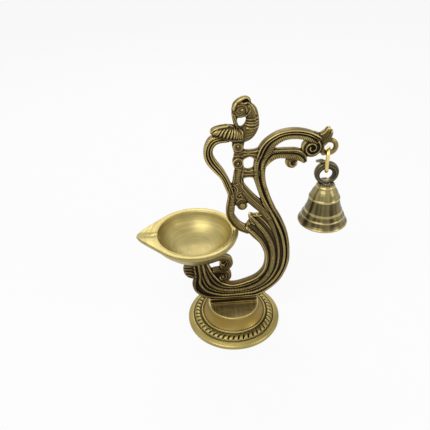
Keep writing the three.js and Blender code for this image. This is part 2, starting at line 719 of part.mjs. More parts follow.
// Staple: a U of wire whose legs sit in the crown of the bell. Height 0 is the middle of its bar.
function clapperStaple() {
  const corner = 1.4;
  const legTop = stapleDrop + stapleSocket - fit;
  const path = new THREE.CurvePath();
  const at = (y, z) => new THREE.Vector3(0, y, z);
  path.add(new THREE.LineCurve3(at(-stapleHalf, legTop), at(-stapleHalf, corner)));
  path.add(new THREE.QuadraticBezierCurve3(
    at(-stapleHalf, corner), at(-stapleHalf, 0), at(corner - stapleHalf, 0),
  ));
  path.add(new THREE.LineCurve3(at(corner - stapleHalf, 0), at(stapleHalf - corner, 0)));
  path.add(new THREE.QuadraticBezierCurve3(
    at(stapleHalf - corner, 0), at(stapleHalf, 0), at(stapleHalf, corner),
  ));
  path.add(new THREE.LineCurve3(at(stapleHalf, corner), at(stapleHalf, legTop)));
  const points = path.curves.flatMap((curve) => curve.getPoints(3).slice(0, -1));
  points.push(at(stapleHalf, legTop));
  const across = new THREE.Vector3(1, 0, 0);
  return loft(points.map((point, i) => {
    const before = points[Math.max(0, i - 1)];
    const after = points[Math.min(points.length - 1, i + 1)];
    const up = after.clone().sub(before).normalize().cross(across);
    return Array.from({ length: wireSides }, (_, k) => {
      const turn = ((k + 0.5) / wireSides) * TAU;
      return point.clone()
        .addScaledVector(across, stapleWire * Math.cos(turn))
        .addScaledVector(up, stapleWire * Math.sin(turn));
    });
  }));
}

// Clapper: an eye of wire that hangs on the staple, its rod, and the ball fixed to the rod.
// Height 0 is the middle of the bar of the staple.
const eyeDrop = clapperEye - clapperWire - stapleWire - fit;
const ballHole = clapperBall * 0.9;

function clapperRod() {
  const eye = Array.from({ length: 16 }, (_, i) => {
    const turn = (i / 16) * TAU;
    return new THREE.Vector3(clapperEye * Math.cos(turn), 0, clapperEye * Math.sin(turn) - eyeDrop);
  });
  const rodTop = -eyeDrop - clapperEye;
  const rodFoot = -clapperLength + clapperBall - ballHole + fit;
  return join([wireRing(eye, clapperWire), bar(clapperWire, rodFoot, rodTop, 12)]);
}

function clapperBob() {
  const bob = new THREE.SphereGeometry(clapperBall, 14, 8).rotateX(Math.PI / 2);
  const hole = bar(clapperWire + fit, clapperBall - ballHole, clapperBall + 1, 12);
  return cut(toSolid(bob), [hole]).translate([0, 0, -clapperLength]);
}

// Assembly

const lamp = new THREE.Group();
lamp.name = 'peacock_oil_lamp';

function place(name, solid, material, parent, x, z) {
  const mesh = new THREE.Mesh(toGeometry(solid), material);
  mesh.name = name;
  mesh.position.set(x, 0, z);
  parent.add(mesh);
  return mesh;
}

const footZ = deckHeight + fit;
const washerZ = deckHeight - baseWall - fit - washerThickness;
const bowlZ = footZ + bracketHeight + fit;
// The link hangs on the lower wall of the eye, and the bell on the lower wire of the link
const linkZ = footZ + eyeHeight - eyeRing + eyeWire + fit + linkWire;
const hangZ = linkZ - linkLength;
const bellZ = hangZ + linkWire + fit - crownHoleHeight - crownHole;
const bellX = eyeX - crownHoleX;

const stand = new THREE.Group();
place('base_foot', baseFoot(), satinBrass, stand, 0, 0);
place('base_washer', baseWasher(), brightBrass, stand, 0, washerZ);
place('base_screw', baseScrew(), brightBrass, stand, 0, washerZ - fit);
place('stand_frame', standFrame(), darkBrass, stand, 0, footZ);
place('bowl_stud', bowlStud(), brightBrass, stand, bowlX, footZ + bracketHeight - studInBracket);
place('oil_bowl', oilBowl(), satinBrass, stand, bowlX, bowlZ);

const hanging = new THREE.Group();
place('bell_link', bellLink(), brightBrass, hanging, eyeX, linkZ).rotation.z = linkTurn;

const bell = new THREE.Group();
bell.position.set(bellX, 0, bellZ);
place('bell_body', bellBody(), bellBronze, bell, 0, 0);
place('clapper_staple', clapperStaple(), brightBrass, bell, 0, barHeight);
place('clapper_rod', clapperRod(), brightBrass, bell, 0, barHeight);
place('clapper_ball', clapperBob(), brightBrass, bell, 0, barHeight);

hanging.add(bell);
lamp.add(stand, hanging);

// The origin lies on the table, in the middle between the spout and the bell
lamp.position.x = -(bowlX - spoutReach + bellX + bellMouth) / 2;

export default lamp;
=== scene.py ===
"""Looks of the brass peacock oil lamp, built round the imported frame.

Lengths in the shape code are millimetres. A mesh turns to metres when its object is made.
X runs along the casting from the spout to the bell, Y from its front to its back, Z up.
The tables of the casting give x from the axis of the base and z from the deck of the base.
"""

import math

import bpy
import numpy as np
from mathutils import Matrix, Vector
from mathutils.bvhtree import BVHTree

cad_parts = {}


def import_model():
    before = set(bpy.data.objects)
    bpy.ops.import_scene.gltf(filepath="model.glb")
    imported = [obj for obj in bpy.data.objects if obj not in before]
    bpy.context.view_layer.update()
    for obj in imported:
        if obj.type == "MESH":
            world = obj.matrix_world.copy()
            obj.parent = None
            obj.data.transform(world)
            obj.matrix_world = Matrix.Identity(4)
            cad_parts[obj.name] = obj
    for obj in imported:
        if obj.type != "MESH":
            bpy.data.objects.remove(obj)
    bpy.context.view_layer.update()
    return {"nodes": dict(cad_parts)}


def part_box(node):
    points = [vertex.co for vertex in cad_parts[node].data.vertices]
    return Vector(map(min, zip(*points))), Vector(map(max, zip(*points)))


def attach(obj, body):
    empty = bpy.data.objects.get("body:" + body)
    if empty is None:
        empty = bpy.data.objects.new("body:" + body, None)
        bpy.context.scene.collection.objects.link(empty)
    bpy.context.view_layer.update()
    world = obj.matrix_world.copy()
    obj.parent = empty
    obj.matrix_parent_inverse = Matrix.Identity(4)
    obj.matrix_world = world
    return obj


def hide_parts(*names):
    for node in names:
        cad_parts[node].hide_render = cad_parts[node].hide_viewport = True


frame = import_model()

MM = 0.001
TAU = 2 * math.pi


def cad(node):
    """Lowest and highest corner of a CAD node in millimetres."""
    return np.array([list(corner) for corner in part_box(node)]) / MM


def middle_x(node):
    return cad(node)[:, 0].mean()


# Places that the frame gives
LAMP_X = middle_x("base_foot")
FOOT_Z = cad("stand_frame")[0][2]
BOWL_X = middle_x("bowl_stud")
BOWL_Z = cad("oil_bowl")[0][2]
BOWL_TOP = cad("oil_bowl")[1][2]
BELL_MOUTH = 18
BELL_X = cad("bell_body")[1][0] - BELL_MOUTH
BELL_Z = cad("bell_body")[0][2]
LINK_X = middle_x("bell_link")
LINK_TOP = cad("bell_link")[1][2]
LINK_FOOT = cad("bell_link")[0][2]
STAPLE_X = middle_x("clapper_staple")
STAPLE_WIRE = 0.9
STAPLE_PLACE = (STAPLE_X, 0, cad("clapper_staple")[0][2] + STAPLE_WIRE)

# Casting: half depth of its rails, plate, strips, strands, curls and tips
RAIL = 2.8
CHANNEL = 1.8
STRIP = 2.35
STRAND = 2.5
CURL = 2.7
TIP = 2.3

# Fineness of its mesh and the crown's, growth of rungs before they are softened, where the rays start that
# lay relief on a form, the depth that still carries a rib, and rounds that find fine and wide hollows
VOXEL = 0.31
CROWN_VOXEL = 0.28
RUNG_SIZE = 1.15
FAR_FRONT = -30
LEAST_DEPTH = 0.2
FINE_ROUNDS = 8
WIDE_ROUNDS = 60


# Mesh tools


def running(line):
    """Length along a line up to each of its points, by its first two columns."""
    return np.concatenate([[0], np.cumsum(np.linalg.norm(np.diff(line[:, :2], axis=0), axis=1))])


def sampled(line, run, places):
    """Rows of a line at places along it. Run gives the place of each row."""
    return np.stack([np.interp(places, run, column) for column in line.T], 1)


def catmull(points, step):
    """Evenly spaced points along a smooth curve through the rows."""
    parts_between_rows = 24
    p = np.asarray(points, float)
    ends = np.vstack([2 * p[0] - p[1], p, 2 * p[-1] - p[-2]])
    t = np.linspace(0, len(p) - 1, parts_between_rows * (len(p) - 1) + 1)
    i = np.minimum(t.astype(int), len(p) - 2)
    u = (t - i)[:, None]
    a, b, c, d = ends[i], ends[i + 1], ends[i + 2], ends[i + 3]
    fine = 0.5 * (2 * b + (c - a) * u + (2 * a - 5 * b + 4 * c - d) * u**2 + (3 * b - a - 3 * c + d) * u**3)
    run = running(fine)
    return sampled(fine, run, np.linspace(0, run[-1], max(3, int(round(run[-1] / step)) + 1)))


def resample(line, step):
    line = np.asarray(line, float)
    run = running(line)
    return sampled(line, run, np.arange(step / 2, run[-1], step))


def unit(vectors):
    return vectors / np.maximum(np.linalg.norm(vectors, axis=1), 1e-9)[:, None]


def tangents(line, loop=False):
    return unit(np.roll(line, -1, 0) - np.roll(line, 1, 0) if loop else np.gradient(line, axis=0))


def sideways(line):
    along = tangents(line)
    return np.stack([along[:, 1], -along[:, 0]], 1)


def beside(line, offset):
    """A flat line moved sideways by an offset for each of its points."""
    return line + sideways(line) * np.reshape(offset, (-1, 1))


def upright(line):
    """Rows of x and z as points in the middle plane of the casting."""
    return np.stack([line[:, 0], 0 * line[:, 0], line[:, 1]], 1)


def circle(x, z, wide, tall=None, count=40):
    turn = np.linspace(0, TAU, count)
    return np.stack([x + wide * np.cos(turn), z + (tall or wide) * np.sin(turn)], 1)


def ring(x, z, radius, count):
    return upright(circle(x, z, radius, count=count + 1)[:-1])


def spiral(x, z, radius, turns, start, inner, way=-1):
    """Points of a spiral from its outer end to its middle."""
    points_per_turn = 18
    t = np.linspace(0, 1, int(turns * points_per_turn))
    angle = start + way * t * turns * TAU
    reach = radius + (inner - radius) * t**0.9
    return np.stack([x + reach * np.cos(angle), z + reach * np.sin(angle)], 1)


def rounded(profile, step, soft=2):
    """A profile with more points along it and its corners eased."""
    line = np.asarray(profile, float)
    run = running(line)
    line = sampled(line, run, np.linspace(0, run[-1], max(4, int(run[-1] / step))))
    for _ in range(soft):
        line[1:-1] = (line[:-2] + 2 * line[1:-1] + line[2:]) / 4
    return line


def lathe(profile, sides):
    """Radius, height and angle of the points of a profile turned round Z."""
    radius, height = np.asarray(profile, float).T[:, :, None] * np.ones(sides)
    return radius, height, np.arange(sides) / sides * TAU


def rings_of(radius, height, turn):
    return np.stack([radius * np.cos(turn), radius * np.sin(turn), height], -1)


def oval(centres, across, up, sides, square=1.0):
    """Rings about centres, with half axes across and up. Below 1 they turn square."""
    turn = (np.arange(sides) + 0.5) / sides * TAU
    c, s = (np.sign(wave) * np.abs(wave) ** square for wave in (np.cos(turn), np.sin(turn)))
    return centres[:, None] + across[:, None] * c[:, None] + up[:, None] * s[:, None]


class Heap:
    """Closed skins that are gathered into one mesh."""

    def __init__(self):
        self.verts = []
        self.faces = []
        self.count = 0

    def add(self, verts, faces):
        self.verts.append(np.asarray(verts, float))
        self.faces += [[i + self.count for i in face] for face in faces]
        self.count += len(verts)

    def skin(self, rings, loop=False):
        """Rings (n, m, 3) that follow each other, closed by a fan at each end."""
        n, m, _ = rings.shape
        r, c = np.meshgrid(np.arange(n if loop else n - 1), np.arange(m), indexing="ij")
        here, there, side = r * m, ((r + 1) % n) * m, (c + 1) % m
        faces = np.stack([here + c, here + side, there + side, there + c], -1).reshape(-1, 4).tolist()
        verts = rings.reshape(-1, 3)
        if not loop:
            verts = np.vstack([verts, rings[0].mean(0), rings[-1].mean(0)])
            low, high, last = n * m, n * m + 1, (n - 1) * m
            faces += [[low, (k + 1) % m, k] for k in range(m)]
            faces += [[high, last + k, last + (k + 1) % m] for k in range(m)]
        self.add(verts, faces)

    def arrays(self, move=(0, 0, 0)):
        return np.vstack(self.verts) + np.array(move, float), self.faces


def strand(heap, stations, sides=16, step=0.8, deep=RAIL, square=0.8):
    """A strand in the plane of the casting: stations of x, z, half width and half depth."""
    line = catmull([list(s) + [deep] * (4 - len(s)) for s in stations], step)
    flat, half = line[:, :2], line[:, 2:3]
    centres = upright(flat)
    across = upright(sideways(flat)) * half
    up = line[:, 3:4] * np.array([0, 1, 0])
    # Round ends
    ahead = upright(tangents(flat)) * half
    reach = np.array([0.97, 0.8, 0.45])[:, None]
    size = np.array([0.25, 0.62, 0.9])[:, None]
    centres = np.vstack([centres[0] - ahead[0] * reach, centres, centres[-1] + ahead[-1] * reach[::-1]])
    across, up = (np.vstack([v[0] * size, v, v[-1] * size[::-1]]) for v in (across, up))
    heap.skin(oval(centres, across, up, sides, square))


def ball(heap, centre, radii, sides=16):
    pole = 0.04
    turn = np.linspace(pole, math.pi - pole, sides // 2 + 1)
    profile = np.stack([np.sin(turn), -np.cos(turn)], 1)
    heap.skin(rings_of(*lathe(profile, sides)) * radii + centre)


def disc(heap, x, z, radius, half):
    """A flat round boss with soft edges, its axis along Y."""
    soft = 0.5
    steps = ((-half, radius - soft), (-half + soft, radius), (half - soft, radius), (half, radius - soft))
    heap.skin(np.stack([ring(x, z, r, 40) + (0, y, 0) for y, r in steps]))


def tube(heap, path, radius, sides=8, loop=False, guide=None):
    """A round wire along a path of points (n, 3). The radius may change along it."""
    along = tangents(path, loop)
    if guide is None:
        guide = (1.0, 0.0, 0.0) if abs(along[:, 1]).max() > 0.95 else (0.0, 1.0, 0.0)
    normal = unit(np.cross(along, guide))
    size = np.broadcast_to(radius, (len(path),))[:, None]
    heap.skin(oval(path, normal * size, np.cross(along, normal) * size, sides), loop)


def section(profile, count):
    """Places across a ribbon and its half depth there, smoothed between the given corners."""
    reach, edge = 8, 6
    at = np.linspace(0, 1, count)
    fine = np.linspace(0, 1, 401)
    level = np.interp(fine, *np.array(profile).T)
    kernel = np.hanning(2 * reach + 1)
    smooth = np.convolve(np.pad(level, reach, mode="edge"), kernel / kernel.sum(), mode="valid")
    smooth[:edge] = level[:edge]
    smooth[-edge:] = level[-edge:]
    return at, np.interp(at, fine, smooth)


def band(heap, stations, profile, count, fade=(0, 0)):
    """A grooved ribbon, thinner over the faded lengths at its ends. Returns its edges."""
    step = 0.8
    rows = np.asarray(stations, float)
    middle = (rows[:, :2] + rows[:, 2:]) / 2
    line = catmull(np.hstack([middle, rows]), step)
    first, second = line[:, 2:4], line[:, 4:6]
    at, half = section(profile, count)
    grid = first[:, None] * (1 - at)[:, None] + second[:, None] * at[:, None]
    run = np.arange(len(line)) * step
    thin = np.clip(run / max(fade[0], 0.01), 0, 1) * np.clip((run[-1] - run) / max(fade[1], 0.01), 0, 1)
    deep = (0.55 + 0.45 * thin)[:, None] * half
    front = np.stack([grid[..., 0], -deep, grid[..., 1]], -1)
    heap.skin(np.concatenate([front, front[:, ::-1] * (1, -1, 1)], 1))
    return first, second


class Relief:
    """Raised lines laid on both faces of a base form."""

    def __init__(self, form, heap):
        verts, faces = form.arrays()
        self.tree = BVHTree.FromPolygons([Vector(v) for v in verts], faces)
        self.heap = heap

    def depth(self, x, z):
        """Half depth of the form at a place, and none beside it."""
        hit = self.tree.ray_cast(Vector((x, FAR_FRONT, z)), Vector((0, 1, 0)))
        return -hit[0].y if hit[0] is not None else 0.0

    def line(self, points, radius, sink=0.12, sides=8, smooth=True):
        """A rounded rib along points of x and z."""
        rows = np.reshape(points, (-1, 2)).astype(float)
        rows = np.column_stack([rows, np.broadcast_to(radius, len(rows))])
        if smooth:
            rows = catmull(rows, 0.5)
        deep = np.array([self.depth(x, z) for x, z, _ in rows])
        # Only the stretches that lie on the form
        known = np.flatnonzero(deep > LEAST_DEPTH)
        for part in np.split(known, np.flatnonzero(np.diff(known) > 1) + 1):
            if len(part) < 2:
                continue
            for side in (-1, 1):
                path = np.stack([rows[part, 0], side * (deep[part] - sink), rows[part, 1]], 1)
                tube(self.heap, path, rows[part, 2], sides)

    def lines(self, radius, *table):
        for points in table:
            self.line(points, radius)

    def studs(self, x, y, z, radii, sides=12):
        for side in (-1, 1):
            ball(self.heap, (x, side * y, z), radii, sides)

    def rungs(self, line, half, pitch, radius, lean=0.0):
        rows = resample(np.column_stack([line, np.broadcast_to(half, len(line))]), pitch)
        c, s = math.cos(lean), math.sin(lean)
        size = radius * RUNG_SIZE
        for (x, z, h), (tx, tz) in zip(rows, tangents(rows[:, :2])):
            ax, az = tz * c + tx * s, -tx * c + tz * s
            ends = [[x + ax * h * k, z + az * h * k] for k in (-1, -0.4, 0.4, 1)]
            self.line(ends, [size * 0.7, size, size, size * 0.7], sink=0.08, sides=6, smooth=False)

    def ladder(self, stations, share, pitch, radius, offset=0.0, lean=0.0):
        """Rungs along a strand, over a share of its width and offset by another."""
        fine = catmull(np.asarray(stations)[:, :3], 0.5)
        self.rungs(beside(fine[:, :2], fine[:, 2] * offset), fine[:, 2] * share, pitch, radius, lean)

    def ribs(self, stations, shares, radius):
        """Ribs that run with a strand, offset by shares of its half width."""
        fine = catmull(np.asarray(stations)[:, :3], 0.6)
        for share in shares:
            self.line(beside(fine[:, :2], fine[:, 2] * share), radius, smooth=False)


def new_mesh(name, verts, faces):
    mesh = bpy.data.meshes.new(name)
    mesh.from_pydata([tuple(v) for v in verts], [], faces)
    return mesh


def new_object(name, data):
    obj = bpy.data.objects.new(name, data)
    bpy.context.scene.collection.objects.link(obj)
    return obj


def mesh_object(name, verts, faces):
    mesh = new_mesh(name, np.asarray(verts) * MM, faces)
    mesh.validate()
    mesh.shade_smooth()
    return new_object(name, mesh)


def skin_object(name, place, rings, loop=False):
    heap = Heap()
    heap.skin(rings, loop)
    return mesh_object(name, *heap.arrays(place))


def set_attribute(obj, name, values):
    attribute = obj.data.attributes.new(name, "FLOAT", "POINT")
    attribute.data.foreach_set("value", np.asarray(values, np.float32).ravel())


def fused(heap, voxel):
    """The heap's skins as one surface with soft joints: vertices, quads and normals."""
    mesh = new_mesh("heap", *heap.arrays())
    obj = new_object("heap", mesh)
    remesh = obj.modifiers.new("fuse", "REMESH")
    remesh.mode = "VOXEL"
    remesh.voxel_size = voxel
    soften = obj.modifiers.new("soften", "SMOOTH")
    soften.factor = 0.5
    soften.iterations = 1
    bpy.context.view_layer.update()
    made = bpy.data.meshes.new_from_object(obj.evaluated_get(bpy.context.evaluated_depsgraph_get()))
    co, normal = np.zeros((2, len(made.vertices) * 3))
    made.vertices.foreach_get("co", co)
    made.vertices.foreach_get("normal", normal)
    quads = np.array([list(p.vertices) for p in made.polygons])
    bpy.data.objects.remove(obj)
    for old in (mesh, made):
        bpy.data.meshes.remove(old)
    return co.reshape(-1, 3), quads, normal.reshape(-1, 3)


def hollows(verts, quads, normal, rounds):
    """How far each vertex lies below its smoothed surroundings, in millimetres."""
    a, b = quads.ravel(), np.roll(quads, -1, 1).ravel()
    ends, other = np.concatenate([a, b]), np.concatenate([b, a])
    n = len(verts)
    share = np.maximum(np.bincount(ends, minlength=n), 1)
    soft = verts.copy()
    for _ in range(rounds):
        soft = np.stack([np.bincount(ends, soft[other, k], n) / share for k in range(3)], 1)
    return ((soft - verts) * normal).sum(1)


def fused_pieces(heap, voxel, names, cuts, move):
    """Fuses a heap, moves it to its place and splits it at heights."""
    verts, quads, normal = fused(heap, voxel)
    fields = {
        "hollow": hollows(verts, quads, normal, FINE_ROUNDS),
        "shade": hollows(verts, quads, normal, WIDE_ROUNDS),
        # flank: how far a face turns sideways; the brass lightens these faces as painted highlight
        "flank": 1 - np.abs(normal[:, 1]),
    }
    height = verts[quads].mean(1)[:, 2]
    limits = [-math.inf, *cuts, math.inf]
    made = []
    for name, low, high in zip(names, limits, limits[1:]):
        mine = quads[(height >= low) & (height < high)]
        used, index = np.unique(mine, return_inverse=True)
        made.append(mesh_object(name, verts[used] + move, index.reshape(mine.shape).tolist()))
        for label, values in fields.items():
            set_attribute(made[-1], label, values[used])
    return made


# Casting: its plates and strands

SCROLL = [
    [13.2, 84, 33, 86], [12.5, 80, 35.2, 80.5], [9.4, 73.6, 38, 73], [13.5, 65.5, 40.4, 67],
    [20.5, 57, 43, 56], [24.5, 46.3, 44, 46], [24.6, 38.5, 43.8, 37.5], [22.6, 30.4, 41.3, 28],
    [18.1, 24.7, 37, 19], [11.5, 20.3, 28.5, 10], [5, 17.3, 17, 3.3], [-2, 17, 2, 1],
    [-7.5, 19, -12, 2.5], [-11.5, 23, -23, 6.5], [-13.5, 28, -30, 12], [-15, 33, -32.5, 20.5],
    [-19.2, 38, -30.8, 29], [-20.3, 42, -31, 38], [-21, 45.3, -31.5, 45.3],
]
OUTER_RAIL = [
    [23.4, 108, 1], [26, 99.5, 1.1], [29.6, 89.6, 1.1], [35, 79, 1.3], [40, 65.2, 1.4], [42.4, 48.8, 1.4],
    [41.2, 34, 1.4], [34.6, 19, 1.4], [21.5, 7.8, 1.25], [12, 6.2, 1], [-2, 6, 0.95], [-12, 6.5, 1],
    [-23.4, 9, 1.3], [-30.4, 17, 1.3], [-29.6, 30, 1.3], [-30.4, 44.6, 1.2],
]
SECOND_RAIL = [
    [18.4, 108, 0.9], [21.6, 99.5, 1], [25.8, 90.5, 1], [32, 77.2, 1.2], [37.2, 63, 1.3], [39.6, 47, 1.3],
    [37.8, 32, 1.3], [30.6, 18.6, 1.3], [19, 10.4, 1.2], [9, 8.8, 1], [-3, 8.4, 0.95], [-11, 9.2, 1],
    [-21, 13.6, 1.2], [-26.2, 22, 1.2], [-26, 31, 1.2], [-27, 44.6, 1.1],
]
THIRD_RAIL = [
    [13.4, 83.6, 1], [18, 76.6, 1.9], [24.4, 67, 2.3], [29.3, 55.6, 2.4], [30.8, 43, 2.4],
    [28.9, 30.4, 2.4], [22.3, 19.6, 2.2], [12.4, 14.4, 1.8], [1, 12.9, 1.6], [-10.4, 14.9, 1.6],
    [-18.4, 21, 1.6], [-21.8, 31, 1.5], [-23.8, 44.6, 1.2],
]
INNER_RAIL = [
    [10.4, 73.6, 1.1], [16.6, 66.6, 1.4], [22.6, 57.6, 1.6], [26, 46.6, 1.6], [25.2, 34, 1.6],
    [19.8, 25.4, 1.6], [11, 20.6, 1.5], [0, 18, 1.3], [-8.6, 21, 1.3], [-13.8, 27, 1.3], [-18, 35, 1.2],
    [-21.2, 44.6, 1],
]
MIDDLE_STRIP = [
    [26, 82, 2.8], [30.2, 71.5, 2.1], [33.6, 60, 1.5], [35.3, 46, 1.3], [33.8, 32, 1.2], [27, 19.6, 1.1],
    [16, 12.6, 0.9], [3, 10.6, 0.75], [-9.8, 12, 0.75], [-19.8, 17.2, 0.8], [-24, 27, 0.7],
    [-25, 40, 0.6],
]
BRACKET_STRIP = [
    [20, 22.4, 0.2], [14, 19, 0.4], [7, 16.7, 0.6], [-1, 15.8, 0.8], [-8.6, 17.4, 0.9], [-14.4, 22, 0.9],
    [-18, 28.6, 0.8], [-20.4, 36, 0.7], [-22, 43, 0.6],
]
LIP_RAIL = [[15.4, 76.6, 1.4], [13.9, 79.8, 1.5], [13, 82.2, 1.3], [12.8, 84, 0.8]]
NECK = [
    [26.4, 80, 34.6, 80], [24, 86, 32.5, 86], [20.8, 95.5, 28.8, 95], [18.3, 103.2, 25.9, 102.8],
    [16.2, 110, 23.9, 110.5], [14.9, 115, 23.2, 117], [14.9, 124, 22.8, 124], [16, 131, 25, 130.5],
]
ARM = [
    [15.2, 127, 24, 127], [18.3, 137, 28.2, 134.5], [22.2, 142.3, 30.3, 138], [28.3, 146.5, 33.5, 140.3],
    [32.7, 148.2, 36, 141.4], [38, 149.1, 39.4, 141.9], [44, 149, 43.6, 141.8],
    [50.2, 147.7, 47.8, 140.9], [55.6, 145.5, 51.8, 139.3], [60.2, 142.5, 56.5, 136.5],
]
LOWER_ARM = [
    [19.5, 122, 23.2, 117], [22, 129, 23.8, 122.5], [27, 135, 27.2, 126.2], [32.3, 135.5, 31, 128.3],
    [39, 135.4, 36.5, 128], [44, 135, 41, 127], [47.6, 133.4, 43.8, 126.2], [50.2, 130.6, 46.4, 125.2],
    [51.4, 127.4, 48, 124.2], [51.4, 124.6, 49.6, 123.4],
]
TAIL = [
    [-5.5, 148, -1, 142.4], [-13.4, 146.6, -8, 141.8], [-17.2, 141.5, -11.6, 138.6],
    [-18.6, 134.5, -12, 133.6], [-17, 128, -9.4, 128.2], [-12.6, 121.8, -5.8, 122.8],
    [-7.8, 115.8, -3, 117.2], [-5.2, 109, -0.6, 111.5], [-3.4, 104, 1.8, 104.5], [-2.4, 100, 2.4, 100],
]

# Sections from the first edge to the second: fraction of the width, half depth
PLATE_SECTION = [(0, 0.8), (0.02, CHANNEL), (0.98, CHANNEL), (1, 0.8)]
NECK_SECTION = [
    (0, 0.9), (0.04, 2.2), (0.1, 2.7), (0.33, 2.7), (0.4, 2.2), (0.46, 1.7), (0.56, 1.7), (0.62, 2.2),
    (0.68, 2.7), (0.88, 2.7), (0.95, 2.3), (1, 0.9),
]
ARM_SECTION = [
    (0, 0.9), (0.03, 2.4), (0.07, 2.8), (0.16, 2.8), (0.21, 1.9), (0.26, 1.8), (0.31, 2.1), (0.36, 2.4),
    (0.41, 2.1), (0.47, 1.7), (0.54, 1.7), (0.6, 2.3), (0.7, 2.6), (0.86, 2.6), (0.95, 2.2), (1, 0.9),
]
LOWER_SECTION = [
    (0, 0.9), (0.05, 2.1), (0.15, 2.4), (0.3, 2.3), (0.37, 1.7), (0.45, 1.7), (0.54, 2.4), (0.66, 2.8),
    (0.88, 2.8), (0.95, 2.3), (1, 0.9),
]
TAIL_SECTION = [
    (0, 0.9), (0.05, 2.3), (0.1, 2.8), (0.22, 2.8), (0.28, 1.9), (0.33, 1.9), (0.39, 2.3), (0.52, 2.3),
    (0.58, 1.8), (0.63, 1.8), (0.69, 2.3), (0.82, 2.3), (0.87, 1.8), (0.92, 2.1), (0.97, 2.0), (1, 0.9),
]

# Strands: x, z, half width and, where it isn't that of the rails, half depth
COLUMN = [
    [5.2, 143, 4], [4.6, 138.6, 3.9], [5.3, 133.2, 3.2], [4.4, 127.2, 3.8], [5.4, 122, 3.2],
    [4.6, 115, 3.8], [4.6, 109, 4.4], [5, 102, 5.6], [6.2, 96, 5.2], [7.3, 92.3, 3.4],
]
LEFT_STRAND = [
    [0.5, 103, 2.6], [-0.4, 96.5, 2.9], [-1.2, 90.4, 3.2], [-1.2, 84.8, 3], [1.6, 78.8, 3.1],
    [5.8, 74, 3.2], [12.5, 70.2, 3.2],
]
SLANT = [[4.5, 112, 3], [7, 107, 3.4], [12.3, 99.3, 3.9], [17.5, 93.5, 4], [22.5, 88, 3.8], [27, 80, 3]]
UPPER_BRIDGE = [
    [6.5, 132.4, 5], [9.4, 132.9, 3.2], [12.4, 133.2, 2.6], [15, 132.8, 3.4], [17.5, 132.2, 5.4],
]
LOWER_BRIDGE = [
    [6.5, 118.4, 4.9], [9.2, 118.2, 3.8], [11.8, 118.2, 3.3], [14.4, 118.3, 4], [17, 118.4, 5.2],
]
UPPER_CURL = [
    [-22, 43, 2], [-17.5, 43.4, 1.9], [-13, 45, 2], [-8.4, 46.2, 2.5], [-4.2, 44.7, 2.9],
    [-2.8, 40.4, 2.9], [-4.8, 36.8, 2.6], [-8, 37, 2.2], [-8.8, 39.6, 1.7],
]
LOWER_CURL = [
    [-15.4, 33.4, 2.1], [-9.6, 33.8, 2.4], [-5.2, 32.2, 2.6], [-3.8, 28.2, 2.6], [-5.4, 24.6, 2.4],
    [-8.8, 24.2, 2.1], [-9.8, 27.2, 1.7],
]
LEAF = [[-29.5, 29.5, 3], [-33.4, 32.2, 4], [-34.4, 37.3, 4.4], [-34.2, 42, 3]]
ARM_CURL = [[43, 128.6, 2.2], [39.6, 127, 2.3], [38.9, 123.8, 2.1], [41.6, 122.4, 1.8], [43.8, 124, 1.5]]
EYE_WEB = [[55.5, 143, 3.2], [59.4, 139.6, 3.6], [60.4, 134, 2.4], [62.4, 129.8, 1.6]]
BUD = [[58, 141.2, 3], [61.4, 143.4, 2.8], [63.6, 145.6, 2.3], [64.6, 148, 1.1]]
BUD_LEAF = [[61.4, 138.4, 3.4], [64.2, 141.2, 2.8], [65.6, 144, 1.9], [66.6, 145.8, 1]]

SPIRAL = (54, 135)
ROSETTE = (4.4, 138.8)
RING_ROSETTE = (4.3, 127.1)
KNOB = (7.3, 92.7)
EYE = (65.9, 134.4, 4.8, 1.7)

# Bosses: x, z, radius and half depth
BOSSES = [
    (*SPIRAL, 6.9, 2.3), (41.5, 125, 3.2, CHANNEL), (-6.2, 40.6, 4.2, CHANNEL), (-9.4, 29, 6.4, CHANNEL),
    (*ROSETTE, 3.5, 2.8), (*RING_ROSETTE, 3.6, 2.9), (*KNOB, 3.7, 2.3),
]

# Layers of the foot bar: low and high edge, half depth and half length
FOOT_LAYERS = [(0, 1.5, 3, 19.5), (1, 4.4, 2.55, 19.1), (3.9, 5.4, 3.1, 19.4)]


def casting():
    heap = Heap()
    band(heap, SCROLL, PLATE_SECTION, 40)
    for rail in (OUTER_RAIL, SECOND_RAIL, THIRD_RAIL, INNER_RAIL, LIP_RAIL):
        strand(heap, rail, square=0.75)
    for strip in (MIDDLE_STRIP, BRACKET_STRIP):
        strand(heap, strip, deep=STRIP, square=0.7)
    neck = band(heap, NECK, NECK_SECTION, 34, (9, 5))
    arm = band(heap, ARM, ARM_SECTION, 36, (5, 0))
    lower = band(heap, LOWER_ARM, LOWER_SECTION, 34, (5, 3))
    tail = band(heap, TAIL, TAIL_SECTION, 36, (0, 4))
    foot_bar(heap)
    for deep, lines in (
        (STRAND, (COLUMN, LEFT_STRAND, SLANT, UPPER_BRIDGE, LOWER_BRIDGE)),
        (CURL, (UPPER_CURL, LOWER_CURL, LEAF, ARM_CURL)),
        (TIP, (EYE_WEB, BUD, BUD_LEAF)),
    ):
        for line in lines:
            strand(heap, line, deep=deep)
    for boss in BOSSES:
        disc(heap, *boss)
    eye_x, eye_z, eye_radius, eye_wire = EYE
    tube(heap, ring(eye_x, eye_z, eye_radius, 48), eye_wire, 16, loop=True)

    relief = Relief(heap, heap)
    scroll_relief(relief)
    rails_relief(relief, neck, arm, lower, tail)
    ends_relief(relief)
    column_relief(relief)
    bird(heap)
    return heap


